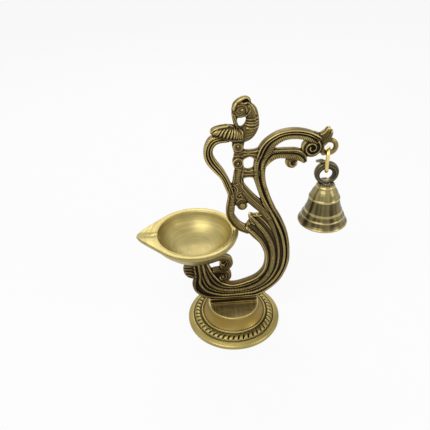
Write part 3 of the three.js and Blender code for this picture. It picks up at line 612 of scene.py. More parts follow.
def foot_bar(heap):
    soft, slim = 0.4, 0.8
    for low, high, deep, long in FOOT_LAYERS:
        corners = [
            (-deep + soft, low), (deep - soft, low), (deep, low + soft), (deep, high - soft),
            (deep - soft, high), (-deep + soft, high), (-deep, high - soft), (-deep, low + soft),
        ]
        middle = (low + high) / 2
        heap.skin(np.array([
            [[x, y * shrink, middle + (z - middle) * shrink] for y, z in corners]
            for x, shrink in ((-long, slim), (-long + soft, 1), (long - soft, 1), (long, slim))
        ]))


def scroll_relief(relief):
    """Ladders on the rails of the scroll, the strips in its channels and its leaf head."""
    relief.ladder(SECOND_RAIL, 0.95, 1.25, 0.36)
    relief.ladder(THIRD_RAIL, 0.72, 1.3, 0.4)
    relief.ribs(THIRD_RAIL, (-0.92, 0.92), 0.3)
    relief.ribs(INNER_RAIL, (0.35,), 0.5)
    relief.ribs(OUTER_RAIL, (0.15,), 0.5)
    relief.ladder(MIDDLE_STRIP, 0.6, 1.35, 0.3, lean=0.25)
    relief.ladder(BRACKET_STRIP, 0.7, 1.35, 0.28, lean=0.25)
    relief.ladder(INNER_RAIL, 0.5, 1.3, 0.26, offset=-0.5)
    relief.lines(
        0.5,
        [12.2, 76.2, 13.7, 78, 16.9, 75.2, 20.7, 69.1],
        [17.2, 84.6, 20.4, 81.4, 24.6, 76.5, 28.6, 70.2],
        [13.4, 83.6, 15.4, 83.5, 18.3, 83, 21.4, 83.6],
    )


def rails_relief(relief, neck, arm, lower, tail):
    """Ladders and ribs on the neck, the two arms and the tail."""
    flat_lower = [edge[6:40] for edge in lower]
    # Edges, place between them, share of their distance, pitch, radius and lean. Without a pitch it is a rib
    for edges, place, share, pitch, radius, lean in (
        (neck, 0.22, 0.1, 1.3, 0.32, 0), (neck, 0.36, 0, 0, 0.34, 0), (neck, 0.79, 0.13, 1.3, 0.38, 0),
        (arm, 0.79, 0.15, 1.3, 0.4, 0), (arm, 0.115, 0, 0, 0.45, 0), (arm, 0.36, 0, 0, 0.36, 0),
        (lower, 0.77, 0.15, 1.3, 0.38, 0), (lower, 0.13, 0, 0, 0.42, 0),
        (flat_lower, 0.29, 0.06, 1.5, 0.28, 0), (tail, 0.1, 0.08, 1.3, 0.36, 0.3),
        (tail, 0.2, 0, 0, 0.36, 0), (tail, 0.455, 0, 0, 0.4, 0), (tail, 0.76, 0, 0, 0.42, 0),
        (tail, 0.92, 0.05, 1.4, 0.26, 0),
    ):
        first, second = edges
        line = first * (1 - place) + second * place
        if pitch:
            relief.rungs(line, np.linalg.norm(first - second, axis=1) * share, pitch, radius, lean)
        else:
            relief.line(line[::2], radius, smooth=False)


def ends_relief(relief):
    """Curls and leaf of the bracket, spiral, curl and bud of the arm."""
    for line in (UPPER_CURL, LOWER_CURL):
        relief.ribs(line, (-0.86, -0.42, 0.02, 0.46, 0.88), 0.36)
    relief.line(spiral(-8.2, 42.8, 3.4, 1.1, 0.4, 0.8), 0.5)
    relief.line(spiral(-8.3, 27.8, 3.6, 1.4, 1.4, 0.7), 0.55)
    for x, z in ((-7.6, 39.4), (-8.2, 27.6)):
        relief.studs(x, 2, z, (1.3, 0.9, 1.3))
    relief.lines(
        0.5,
        [-37.6, 40.4, -34, 40.7, -29.6, 38.8, -27.4, 33.6], [-38.2, 37.6, -34.2, 37.9, -30.3, 36, -28.8, 32],
        [-37.4, 34.8, -34.8, 35, -31.4, 33.4, -29.8, 29.8], [-36, 32, -34, 32, -32, 30.8, -30.6, 28.4],
    )
    relief.lines(
        0.4,
        [-27.6, 13.4, -30.5, 22.1, -27.6, 29.3], [-24.4, 17.8, -25.6, 27.6, -24.8, 39.6],
        [-20.4, 15.3, -22.1, 27.9, -22.8, 40.8], [-15.4, 13.8, -19.5, 23.3, -20.2, 33.1],
    )

    coil = spiral(*SPIRAL, 6, 1.75, 0.9, 1.1)
    relief.line(coil, 0.95, sink=0.1)
    relief.line(coil, 0.45, sink=-0.7)
    relief.line(spiral(*SPIRAL, 4.6, 1.2, 0.9, 1.6), 0.34, sink=-0.1)
    relief.line(spiral(42.2, 124.8, 3, 1.2, 2.8, 0.7, way=1), 0.5)
    relief.ribs(ARM_CURL, (-0.7, 0.7), 0.38)
    relief.lines(
        0.42,
        [55, 144.4, 59.4, 144.2, 62, 145.8, 63.7, 148.2], [57, 140.6, 61.4, 141.4, 64.4, 144.6],
        [61, 136.4, 64.8, 139, 66.6, 142.4, 67, 145], [55.6, 137.4, 58.6, 135.6, 60.4, 132.6],
        [47.6, 129.6, 49.6, 127.4, 50.4, 124.8],
    )


def column_relief(relief):
    """Rosettes, collars, leaf loops and knob of the column, and the strands round it."""
    x, z = ROSETTE
    for wide, tall in ((3.6, 3.8), (2.6, 2.8), (1.6, 1.8)):
        relief.line(circle(x, z + 1, wide, tall), 0.36, smooth=False)
    relief.studs(x, 2.9, z + 1, (0.7, 0.5, 0.8))
    # Star of leaves under it
    for lean in (-4.4, -2.9, -1.2, 1.2, 2.9, 4.6):
        relief.line([x + lean, z - 3.2, x + lean * 0.55, z - 4.3, x + 0.2, z - 5.3], [0.4, 0.36, 0.24])
        relief.line([x + lean * 0.9, z - 7.4, x + lean * 0.5, z - 6.4, x + 0.2, z - 5.4], [0.34, 0.34, 0.24])
    relief.line([8, 133.4, 10.4, 133.6, 13, 134.6], 0.42)
    x, z = RING_ROSETTE
    relief.line(circle(x, z, 3.2, 3.3), 0.4, smooth=False)
    relief.line(spiral(x, z, 2.3, 1.2, 2.2, 0.9), 0.36)
    relief.lines(
        0.42,
        [1.2, 130.6, 2.6, 132.2, 5, 132.6], [8.2, 129.6, 10.4, 131, 13, 131.6],
        [7.8, 123.6, 9.4, 121, 12.4, 119.8, 15.6, 119.9], [0.8, 124, 2.4, 122.6, 4.6, 122.4],
    )
    relief.studs(x, 2.9, z, (0.8, 0.6, 0.8))

    relief.rungs(catmull([[5.3, 122.6], [4.4, 117.4], [3.8, 112.4]], 0.5), 1.3, 1.3, 0.36)
    relief.lines(
        0.46,
        [2.4, 123.6, 1.9, 118, 1.4, 113, 0.2, 109.6], [7.9, 122.8, 7.4, 118, 6.6, 113, 7.4, 108],
        [-1.5, 109.3, 0, 110.4, 2.5, 109.1, 3.9, 106.6, 2.9, 103.8, 1.4, 100.4, 0.4, 99.3, -1.1, 102.4,
         -1.8, 106.5, -1.5, 109.3],
        [0, 107.5, 1.5, 108, 2.4, 105.6, 1.4, 103.3],
        [2.9, 102.1, 4.9, 104.2, 7.4, 104.1, 8.4, 101.6, 6.9, 99.4, 4.4, 99, 2.9, 100.3, 2.9, 102.1],
        [4.9, 101.4, 6, 102.3, 6.7, 101.2],
        [2.9, 95.6, 4.9, 98, 7.9, 98.3, 10.2, 96.4, 10.3, 93.7, 8.5, 91.4],
    )
    x, z = KNOB
    relief.studs(x, 2.1, z, (2.5, 1.5, 2.4), 16)

    relief.ladder(LEFT_STRAND, 0.52, 1.3, 0.38, offset=-0.3)
    relief.ribs(LEFT_STRAND, (0.78,), 0.6)
    relief.ribs(LEFT_STRAND, (-0.9,), 0.34)
    relief.ladder(SLANT, 0.42, 1.3, 0.38, offset=0.3)
    relief.ribs(SLANT, (-0.2, 0.86, -0.84), 0.4)
    for bridge in (UPPER_BRIDGE, LOWER_BRIDGE):
        relief.ribs(bridge, (-0.62, 0, 0.62), 0.42)


# Peacock

BODY = [
    [-12.6, 149.2, 1, 1.8], [-9, 149, 3, 3.4], [-3, 148.4, 4.3, 4.4], [3.5, 147, 5.6, 4.6],
    [9.6, 147.9, 5.7, 4.4], [13.2, 152.4, 5.1, 3.9], [14, 157.5, 4.3, 3.5], [12.4, 163.2, 4.4, 3.4],
    [8.6, 165.8, 3.6, 3],
]
WING = [
    [-13, 150.5, 0.8, 2.4], [-10, 150.2, 2.7, 4], [-4, 149.4, 4.4, 5.1], [1.5, 148.6, 4.7, 5.3],
    [6.4, 147.2, 3.2, 4.8],
]
BEAK = [[2.8, 161.5, 2.5, 2.6], [2.6, 157.6, 1.6, 2.2], [3.2, 154.6, 1.4, 2], [4.4, 151.4, 1.6, 2]]
CREST = [
    [2.8, 164.4, 1.7, 1.3], [4.7, 167.4, 2.6, 1.3], [7.6, 169.5, 3, 1.3], [10.6, 169.8, 2.6, 1.3],
    [12, 168.4, 1.3, 1.3],
]

# Feathers of the wing from its tip to the shoulder: top, middle and foot of each
FEATHERS = [
    [-8.6, 152.2, -10.4, 150.9, -11.9, 149.8], [-6.8, 152.4, -8.7, 150.5, -10.6, 148.6],
    [-2.7, 152.8, -4.6, 151, -6, 147.4], [0.5, 152, -0.9, 148.9, -1.9, 145.6],
    [2.6, 153, 2.8, 150.3, 2.3, 145.9], [3.8, 153, 4.9, 150.2, 4.7, 145.5], [4.9, 152.6, 7, 150, 6.9, 145.8],
]
FEATHER_COUNT = 12


def bird(heap):
    """Peacock: body, wing, neck, head with beak and crest."""
    base = Heap()
    strand(base, BODY, sides=24, square=1)
    strand(base, WING, sides=24, square=1)
    strand(base, BEAK, sides=14, square=0.9)
    strand(base, CREST, sides=18, square=0.8)
    ball(base, (6.1, 0, 164.1), (5.7, 3.7, 5.6), 28)
    ball(base, (9.8, 0, 161.2), (1.8, 3, 1.8), 16)
    heap.add(*base.arrays())
    relief = Relief(base, heap)

    # Wing: top and foot rib, and feathers that turn from slanted to upright
    relief.line([-12.9, 150.6, -10.6, 152, -7.3, 152.9, -3.1, 153.4, -0.8, 153.6, 2.2, 153],
                [0.5, 0.7, 0.8, 0.8, 0.7, 0.5])
    relief.line([-12.6, 149.3, -8.8, 147.2, -5.2, 145.9, -1.9, 144.8, 2.4, 144.4, 6.6, 144.6], 0.5)
    known = len(FEATHERS)
    for row in sampled(np.array(FEATHERS), np.arange(known), np.linspace(0, known - 1, FEATHER_COUNT)):
        relief.line(row, [0.34, 0.56, 0.42], sink=-0.05)
    # Bands round the neck, ridge down its back with ticks, scales of the breast
    relief.lines(
        0.48,
        [9.3, 156, 12.5, 156, 15.4, 156.3, 17.6, 156.9], [9.3, 154.5, 12.1, 154.3, 15.3, 154.6, 17.4, 155.2],
        [9.8, 152.5, 12.5, 152.1, 15.8, 152.4, 17.4, 153], [9.9, 157.8, 12.5, 158, 15, 158.4, 17, 159],
    )
    back = catmull([[11.7, 168.1], [13.6, 166.3], [14.9, 163.8], [16, 160.4], [16.9, 156.5], [16.9, 152.6],
                    [15.8, 149.4], [13.8, 146.4], [11.2, 143.9]], 0.5)
    relief.line(back[:17], 0.55, smooth=False)
    relief.rungs(beside(back, 1.1)[:32], 0.9, 1.25, 0.34, lean=0.5)
    for row in range(8):
        z = 150.9 - 0.95 * row
        left, right = 9.2 - 0.1 * row, 16.9 - 0.11 * row * row
        relief.line([left, z - 0.5, (left + right) / 2, z - 0.1 + 0.35 * (row % 2), right, z + 0.5],
                    [0.2, 0.34, 0.28])
    for row in range(5):
        relief.line([10.6 + 0.4 * row, 160 + 1.1 * row, 12.6 + 0.1 * row, 160.6 + 1.1 * row], 0.28)
    # Face: swirl round the eye, brow, cheek and beak
    relief.line([1.8, 162.2, 2.3, 164.8, 3.9, 167, 6.5, 167.8, 8.9, 166.8, 10, 164.6, 9.4, 162.4, 7.4, 160.9,
                 5.2, 160.7], [0.26, 0.4, 0.5, 0.52, 0.46, 0.4, 0.36, 0.32, 0.2])
    relief.line([2.9, 163.2, 3.9, 161.9, 5.8, 162, 7.4, 162.9], [0.22, 0.32, 0.32, 0.2])
    relief.line([4, 164.2, 5.2, 165.9, 7, 166.3, 8.8, 165.1, 7.6, 163.8, 5.7, 163.4, 4, 164.2], 0.27)
    relief.studs(6.8, 3.5, 164.9, (1, 0.5, 0.7))
    relief.line([1.1, 165.2, 2.7, 167.6, 5.6, 168.9, 8.4, 168.5, 10.4, 168.7, 11.9, 168.3],
                [0.5, 0.62, 0.7, 0.66, 0.66, 0.5], sink=-0.2)
    relief.lines(
        0.42,
        [0.9, 164, 1, 161.8, 1.8, 158.4, 2.5, 155.5], [2.2, 161.4, 2.9, 158.8, 3.6, 156],
        [3.4, 161.6, 5.2, 160.4, 7.6, 160.6, 9.5, 162.3, 10.5, 164.8],
        [8.6, 159.9, 10.8, 161.6, 12.2, 164.4],
    )
    # Fold of the crest: a bright rim outside, a thin edge below and a hollow between them
    relief.line([1.6, 164.6, 2.2, 166.8, 3.8, 168.9, 6.1, 170.7, 8.4, 171.8, 10.2, 171.9, 11.5, 171,
                 12.1, 169.6], [0.6, 0.9, 1.1, 1.05, 0.8, 0.55, 0.42, 0.3], sink=-0.5)


# Turned pieces

TEETH = 48
TOOTH_INNER = 27.7
TOOTH_OUTER = 32.1
TOOTH_EDGE = 0.7
TOOTH_SLANT = 0.012
TOOTH_DEPTH = 1.3
# Radius and width of the grooves of the base that keep soot
BASE_GROOVES = ((32.7, 0.5), (27.35, 0.5), (24.9, 0.35))


def turned_base():
    outside = [
        [37.1, 0], [37.5, 0.4], [37.5, 2.3], [36.8, 3.1], [33.6, 4.6], [33.3, 4.5], [32.9, 3.9], [32.5, 3.9],
        [32.1, 4.9], [31.6, 5.8], [29.9, 6.6], [28.2, 6.5], [27.6, 5.9], [27.3, 5.3], [26.9, 5.7],
        [26.5, 7.5], [25.8, 8.1], [25.2, 7.6], [24.9, 7.2], [24.5, 7.7], [23.6, 8.8], [22.3, 10.7],
        [21.2, 13], [20.6, 15.2], [20.35, 16.2], [19.7, 16.7], [1.8, 16.7],
    ]
    inside = [
        [1.8, 14.5], [16.6, 14.5], [17.8, 13.1], [22.2, 7.6], [26, 4.4], [31.6, 2], [34.4, 0.4], [34.9, 0],
    ]
    profile = np.vstack([rounded(outside, 0.37, 1), rounded(inside, 1.2)])
    radius, height, turn = lathe(profile, TEETH * 10)
    within = np.clip((radius - TOOTH_INNER) / TOOTH_EDGE, 0, 1)
    within = within * np.clip((TOOTH_OUTER - radius) / TOOTH_EDGE, 0, 1) * (height > 4)
    slant = turn + TOOTH_SLANT * (radius - TOOTH_INNER)
    gap = within * np.clip(1.25 - 1.7 * np.abs(np.cos(slant * TEETH / 2)), 0, 1)
    rings = rings_of(radius - 0.25 * gap, height - TOOTH_DEPTH * gap, turn)
    obj = skin_object("turned_base", (LAMP_X, 0, 0), rings.transpose(1, 0, 2), loop=True)
    soot = 1.3 * gap
    for groove, wide in BASE_GROOVES:
        soot = soot + 0.9 * np.exp(-(((radius - groove) / wide) ** 2)) * (height > 3.2)
    set_attribute(obj, "soot", soot.T)
    return obj


RIM = 32.3
REACH = 43
ROUND = 0.08
WELL = 27.4
NOTCHES = 168
NOTCH_DEPTH = 0.42


def rim_reach(angle):
    """Distance of the rim from the bowl's axis, at an angle from the spout."""
    open_ = math.acos(RIM / REACH) + ROUND
    off = np.hypot(angle, ROUND)
    return np.where(off < open_, RIM / np.cos(np.minimum(open_ - off, 1.3)), RIM)


def spouted_bowl():
    """Bowl with its round well, the flat rim that runs out to a spout and the rope edge."""
    top = BOWL_TOP - BOWL_Z
    # Radius of the round part, share of the rim outline, inset from it, height, groove
    rows = [(radius, 0, 0, height, 0) for radius, height in (
        (1.7, 3.7), (1.7, 0.05), (7.9, 0), (8.35, 0.3), (8.4, 0.9), (8.5, 1.7), (9, 2.4), (10.6, 3.3),
        (14.25, 6), (17.6, 8.2), (20.3, 10.7),
    )]
    rows += [
        (23.2, 0.05, 0.5, 13.5, 0), (25.5, 0.12, 1, 16.3, 0), (27.4, 0.34, 1.6, 18.6, 0),
        (29, 0.6, 2, 20.7, 0), (29.4, 0.85, 1.6, 21.8, 0),
    ]
    # The same with the depth below the top in place of the height
    rows += [(radius, share, inset, top - drop, groove) for radius, share, inset, drop, groove in (
        (0, 1, 1, 3.4, 0), (0, 1, 0.75, 2.4, 0), (0, 1, 0.5, 1.6, 0.1), (0, 1, 0.15, 1.3, 0.2),
        (0, 1, 0, 0.95, 0.25), (0, 1, 0, 0.5, 0.3), (0, 1, 0.25, 0.12, 0.35), (0, 1, 0.7, 0, 0.4),
        (0, 1, 1.2, 0.12, 0.5), (0, 1, 1.9, 0.1, 0.6), (WELL, 0.66, 1.5, 0.14, 0.85),
        (WELL + 0.6, 0.33, 1.5, 0.2, 1), (WELL + 1.5, 0, 0, 0.2, 1.05), (WELL + 1.1, 0, 0, -0.02, 1.1),
        (WELL + 0.6, 0, 0, -0.08, 1.15), (WELL + 0.15, 0, 0, 0.15, 1.2), (WELL - 0.1, 0, 0, 0.8, 1.1),
        (WELL - 0.4, 0, 0, 1.7, 0.9), (WELL - 0.7, 0, 0, 2.8, 0.5), (26.3, 0, 0, 3.7, 0.2),
    )]
    rows += [(radius, 0, 0, top - drop, 0) for radius, drop in (
        (25.7, 5), (24.6, 7), (23, 9.1), (20.9, 11.3), (18.1, 13.5), (15, 15.2), (11.5, 16.45), (8, 17.15),
        (4.4, 17.45), (0.3, 17.5),
    )]
    sides = NOTCHES * 5
    turn = np.arange(sides) / sides * TAU
    off = np.minimum(turn, TAU - turn)
    rim = rim_reach(off)
    # The notches follow the length of the rim, so they are as fine at the spout as at the back
    x, y = rim * np.cos(turn), rim * np.sin(turn)
    run = running(np.stack([x, y], 1))
    pitch = (run[-1] + math.hypot(x[-1] - x[0], y[-1] - y[0])) / NOTCHES
    notch = 0.5 - 0.5 * np.cos(run / pitch * TAU)
    rings, soot = [], []
    for radius, share, inset, height, groove in rows:
        reach = radius * (1 - share) + (rim - inset) * share
        cut = notch * (share == 1 and inset < 0.5 and top - 1.7 < height)
        reach = reach - NOTCH_DEPTH * cut
        dip = groove * 1.7 * np.exp(-((off * reach) / 1.9) ** 2)
        lip = 0.8 * groove * np.clip(1 - off * reach / 8, 0, 1) * (share > 0)
        rings.append(rings_of(-reach, height - dip - lip - 0.15 * cut, turn))
        soot.append(0.55 * cut)
    obj = skin_object("spouted_bowl", (BOWL_X, 0, BOWL_Z), np.stack(rings))
    set_attribute(obj, "soot", np.append(soot, [0, 0]))
    return obj


# Rings of the bell that are rubbed bright, the rest keeps its patina: height and width
BELL_RINGS = ((0.6, 0.7), (5.9, 0.45), (9.7, 0.4), (10.6, 0.3), (20, 0.45), (20.8, 0.25), (29.3, 0.6))

# Outline of the bell's crown and its hole: x, z and radius
CROWN = (-0.4, 39.5, 8.65)
HOLE = (-0.7, 38.1, 4.55)
# Rows of grains on its collar: height, radius and turn as a share of a grain
GRAIN_ROWS = ((30.4, 5.8, 0), (31.4, 5.3, 0.5))
GRAINS = 22


def bell_shell():
    outside = [
        [17.6, 0], [18, 0.35], [18, 0.9], [17.5, 1.3], [16.9, 2.1], [16.2, 2.8], [15.7, 4.2], [15.25, 5.2],
        [15.55, 5.5], [15.65, 5.9], [15.4, 6.3], [14.8, 6.6], [14.2, 8], [13.5, 9.1], [13.75, 9.5],
        [13.8, 9.8], [13.45, 10.2], [13.5, 10.6], [13.2, 10.9], [12.7, 12], [12, 14], [11.4, 16.4],
        [11, 18.4], [10.7, 19.3], [11.2, 19.7], [11.35, 20.1], [11, 20.4], [11.15, 20.8], [10.6, 21.2],
        [9.9, 22.6], [9.2, 24.6], [8.1, 26.5], [7, 27.9], [6.5, 28.6], [6.9, 29], [6.9, 29.6],
        [6.3, 30], [6.1, 31], [4.6, 31.4], [0.2, 31.4],
    ]
    inside = [[0.2, 25], [6.1, 24], [8.2, 21.5], [9.2, 19], [9.8, 14.5], [11.5, 8.5], [14, 3.2], [16.4, 0]]
    wall = rounded(outside, 0.3)
    radius, height, turn = lathe(np.vstack([wall, rounded(inside, 0.8)]), 160)
    rings = rings_of(radius, height, turn).transpose(1, 0, 2)
    obj = skin_object("bell_shell", (BELL_X, 0, BELL_Z), rings, loop=True)
    bright = sum(np.exp(-(((height - level) / wide) ** 2)) for level, wide in BELL_RINGS)
    bright[len(wall):] = 0
    set_attribute(obj, "soot", (1 - np.clip(bright, 0, 1)).T)
    return obj


def bell_crown():
    """Flat round loop of the bell with the nub on it and a grained collar."""
    crown = Heap()
    near, far = ring(*HOLE, 72), ring(*CROWN, 72)
    rise = np.tile([0, 2.5, 0], (len(near), 1))
    crown.skin(oval((near + far) / 2, (far - near) / 2, rise, 20, 0.72), loop=True)
    top = CROWN[1] + CROWN[2]
    nub = [[-1.4, top - 1.9, 1.5, 2], [-4.4, top + 0.5, 1.3, 1.8], [-8, top + 0.7, 0.8, 1.3]]
    strand(crown, nub, step=0.5)
    collar = rounded([[0.2, 28.5], [5.2, 28.5], [6.1, 30.4], [5.6, 31.2], [4.9, 32.6], [0.2, 32.8]], 0.4)
    crown.skin(rings_of(*lathe(collar, 60)))
    for level, radius, shift in GRAIN_ROWS:
        for k in range(GRAINS):
            a = (k + shift) / GRAINS * TAU
            ball(crown, (radius * math.cos(a), radius * math.sin(a), level), (0.55, 0.55, 0.5), 8)
    x, z = (CROWN[0] + HOLE[0]) / 2, (CROWN[1] + HOLE[1]) / 2
    Relief(crown, crown).line(circle(x, z, 6.6, count=60), 0.5, smooth=False)
    return fused_pieces(crown, CROWN_VOXEL, ["bell_crown"], [], (BELL_X, 0, BELL_Z))[0]


# The link: radius of its wire, radius of its ends, turn about the upright and depth of its butt joint
LINK_WIRE = 1.35
LINK_END = 4.7
LINK_TURN = -0.3
LINK_SEAM = 0.22


def wire_object(name, place, path, radius, sides, **options):
    heap = Heap()
    tube(heap, path, radius, sides, **options)
    return mesh_object(name, *heap.arrays(place))


def wire_link():
    straight = (LINK_TOP - LINK_FOOT) / 2 - LINK_WIRE - LINK_END
    turn = (np.arange(96) + 0.5) / 96 * TAU
    rise = LINK_END * np.sin(turn) + np.where(np.sin(turn) > 0, straight, -straight)
    corners = np.stack([LINK_END * np.cos(turn), rise], 1)
    side, rise = resample(np.vstack([corners, corners[:1]]), 0.35).T
    c, s = math.cos(LINK_TURN), math.sin(LINK_TURN)
    path = np.stack([-s * side, c * side, rise], 1)
    seam = np.abs(rise) + 10 * (side > 0)
    radius = LINK_WIRE - LINK_SEAM * np.exp(-((seam / 0.3) ** 2))
    place = (LINK_X, 0, (LINK_TOP + LINK_FOOT) / 2)
    return wire_object("wire_link", place, path, radius, 20, loop=True, guide=(c, s, 0))


def wire_staple():
    half, corner, leg = 3.2, 1.4, 6.1
    bend = np.linspace(0, math.pi / 2, 8)
    points = [[-half, leg], [-half, corner + 1]]
    points += [[-half + corner * (1 - math.cos(a)), corner * (1 - math.sin(a))] for a in bend]
    points += [[-y, z] for y, z in points[::-1]]
    y, z = resample(points, 0.3).T
    return wire_object("wire_staple", STAPLE_PLACE, np.stack([0 * y, y, z], 1), STAPLE_WIRE, 16)


CLAPPER_LENGTH = 15.5


def clapper_wire():
    heap = Heap()
    tube(heap, ring(0, -0.2, 2.2, 48), 0.8, 14, loop=True)
    line = np.linspace(-2.4, 0.6 - CLAPPER_LENGTH, 24)
    radius = np.interp(line, [-14.9, -14.2, -4.2, -3.0, -2.4], [0.6, 0.78, 0.78, 0.95, 1.1])
    tube(heap, np.stack([0 * line, 0 * line, line], 1), radius, 16)
    return mesh_object("clapper_wire", *heap.arrays(STAPLE_PLACE))


def clapper_bob():
    hole = [[0.1, 0.3], [1.1, 0.32], [1.1, 2.98]]
    skin = [
        [1.1, 2.98], [1.9, 2.62], [2.7, 1.7], [3.15, 0.45], [3.2, 0], [3.15, -0.45], [2.7, -1.7],
        [1.9, -2.6], [0.9, -3.1], [0.15, -3.15],
    ]
    rings = rings_of(*lathe(np.vstack([hole, rounded(skin, 0.25)]), 60))
    return skin_object("clapper_bob", (STAPLE_X, 0, STAPLE_PLACE[2] - CLAPPER_LENGTH), rings)


# Materials


class Nodes:
    """Short calls for the node tree of a material or a world."""

    def __init__(self, owner):
        owner.use_nodes = True
        self.owner = owner
        self.tree = owner.node_tree
        self.tree.nodes.clear()

    def node(self, kind, inputs=(), **settings):
        n = self.tree.nodes.new("ShaderNode" + kind)
        for key, value in settings.items():
            setattr(n, key, value)
        for key, value in inputs.items() if isinstance(inputs, dict) else enumerate(inputs):
            socket = n.inputs[key]
            if hasattr(value, "is_output"):
                self.tree.links.new(value, socket)
            else:
                socket.default_value = (*value, 1.0) if socket.type == "RGBA" else value
        return n

    def math(self, operation, a, b=0.0):
        return self.node("Math", (a, b), operation=operation).outputs[0]

    def add(self, *parts):
        total = parts[0]
        for part in parts[1:]:
            total = self.math("ADD", total, part)
        return total

    def times(self, a, b):
        return self.math("MULTIPLY", a, b)

    def noise(self, scale, detail=4, roughness=0.55, vector=None):
        inputs = {"Vector": vector or self.place, "Scale": scale, "Detail": detail, "Roughness": roughness}
        return self.node("TexNoise", inputs).outputs["Fac"]

    def about_zero(self, noise, size):
        return self.times(self.math("SUBTRACT", noise, 0.5), size)

    def span(self, value, low, high, to_low=0.0, to_high=1.0):
        return self.node("MapRange", (value, low, high, to_low, to_high)).outputs[0]

    def mix(self, factor, a, b):
        return self.node("Mix", {0: factor, 6: a, 7: b}, data_type="RGBA", clamp_factor=True).outputs[2]

    def attribute(self, name):
        return self.node("Attribute", attribute_name=name).outputs["Fac"]

    def bump(self, height, strength, distance, under=None):
        """Normal of a surface with a height on it, over another normal."""
        inputs = {"Height": height, "Strength": strength, "Distance": distance}
        if under is not None:
            inputs["Normal"] = under
        return self.node("Bump", inputs).outputs[0]

    def vector(self, x, y):
        return self.node("CombineXYZ", (x, y)).outputs[0]

    def parts(self, centre):
        """Vector, x, y and z from a centre, in metres."""
        away = tuple(-c * MM for c in centre)
        moved = self.node("VectorMath", (self.place, away)).outputs[0]
        return moved, *self.node("SeparateXYZ", (moved,)).outputs

    def finish(self, kind, shader):
        self.node(kind, (shader.outputs[0],))
        return self.owner


def metal(name):
    m = Nodes(bpy.data.materials.new(name))
    m.place = m.node("TexCoord").outputs["Object"]
    return m


def metal_surface(m, metallic, color, rough, normal):
    inputs = {"Base Color": color, "Metallic": metallic, "Roughness": rough, "Normal": normal}
    return m.finish("OutputMaterial", m.node("BsdfPrincipled", inputs))


# Brown of the painted reflection on the lower casting under the bowl
LOW_REFLECTION_BROWN = (0.085, 0.045, 0.012)
SOOT = (0.012, 0.009, 0.005)


def antique(name, bright, browns, patina_and_shade_dark, rub=None):
    """Cast brass: dark patina in the fine hollows and ribs polished bright; painted shade in the wide
    hollows, painted highlight on the side faces, painted shade and a brown painted reflection on the lower
    casting under the bowl.
    """
    m = metal(name)
    blotch = m.noise(80, 5)
    # Painted shade and a brown painted reflection: the lower casting under the bowl is darker and browner
    _, x, _, z = m.parts((LAMP_X, 0, 0))
    oil = m.times(m.span(z, 0.08, 0.05), m.span(x, 0.028, -0.012))
    # Painted light in this sum: wide hollows (shade) darken as painted shade, side faces (flank) lighten as
    # painted highlight, and the mask under the bowl darkens as painted shade
    grime_and_painted_light = m.add(
        m.times(m.attribute("hollow"), 8.5),
        m.times(m.attribute("shade"), 0.25),
        m.about_zero(blotch, 0.8),
        m.about_zero(m.noise(900), 0.5),
        m.times(m.math("POWER", m.attribute("flank"), 3.0), -0.2),
        m.times(oil, 0.4),
    )
    worn_and_highlight = m.math("POWER", m.span(grime_and_painted_light, 0.0, -1.5), 1.5)
    if rub is not None:
        centre, reach = rub
        near = m.node("VectorMath", (m.parts(centre)[0],), operation="LENGTH").outputs["Value"]
        worn_and_highlight = m.math("MAXIMUM", worn_and_highlight, m.span(near, reach * MM, reach * 0.6 * MM))
    # Brown painted reflection on the lower casting under the bowl
    brown = m.mix(m.times(oil, 0.7), m.mix(blotch, *browns), LOW_REFLECTION_BROWN)
    # Darkest colour: patina in the fine hollows, painted shade in the wide hollows and under the bowl
    color = m.mix(m.span(grime_and_painted_light, -0.05, 0.75), m.mix(worn_and_highlight, brown, bright), patina_and_shade_dark)
    rough = m.add(m.span(grime_and_painted_light, -0.8, 0.5, 0.27, 0.62), m.about_zero(m.noise(600), 0.14))
    cast = m.bump(m.noise(1500), 0.35, 0.00008)
    return metal_surface(m, 0.9, color, rough, m.bump(m.noise(260, 3), 0.3, 0.0002, cast))


def turned(name, centre, light, dark, rough, streak, tone):
    """Turned brass: fine tool rings about an axis, slight tarnish, soot in its grooves."""
    m = metal(name)
    _, x, y, height = m.parts(centre)
    radius = m.math("SQRT", m.add(m.times(x, x), m.times(y, y)))
    angle = m.math("ARCTAN2", y, x)
    rings = m.vector(m.add(radius, m.times(height, 0.7)), m.times(angle, 0.0015))
    tool = m.noise(2600, 6, 0.7, rings)
    coarse = m.noise(570, 3, 0.6, rings)
    tarnish = m.add(m.about_zero(m.noise(45, 5), 1.0), m.about_zero(coarse, streak))
    color = tone(m, m.mix(m.span(tarnish, -0.45, 0.5), light, dark), x, y, radius, height)
    rough = m.add(rough, m.about_zero(m.noise(420), 0.1), m.about_zero(coarse, 0.16))
    return metal_surface(m, 0.95, color, rough, m.bump(coarse, 0.35, 0.0003, m.bump(tool, 0.55, 0.00012)))


def base_tone(m, color, x, y, radius, height):
    """Golden drum, deck lighter with painted reflection streaks along Y, soot in the grooves and between the
    teeth.
    """
    drum = m.times(m.span(height, 0.0162, 0.0154), m.span(radius, 0.0252, 0.0242))
    color = m.mix(m.times(drum, m.span(m.noise(70), 0.3, 0.7, 0.55, 0.9)), color, (0.26, 0.165, 0.035))
    # Painted reflection: light streaks along Y across the deck, which is lighter than the rest of the base
    streaks = m.span(m.noise(1500, 4, 0.7, m.vector(x, m.times(y, 0.03))), 0.3, 0.7)
    deck = m.mix(streaks, (0.42, 0.34, 0.14), (0.74, 0.63, 0.31))
    color = m.mix(m.span(height, 0.0164, 0.0166), color, deck)
    return m.mix(m.add(m.attribute("soot"), m.about_zero(m.noise(300), 0.25)), color, SOOT)


def bowl_tone(m, color, x, y, radius, height):
    """Soot in the notches of the rim, and a faint shadow of old oil low in the well."""
    well = m.times(m.span(height, 0.016, 0.0095), m.span(radius, 0.02, 0.012))
    color = m.mix(m.times(well, m.noise(90)), color, (0.36, 0.3, 0.14))
    return m.mix(m.attribute("soot"), color, (0.05, 0.038, 0.015))


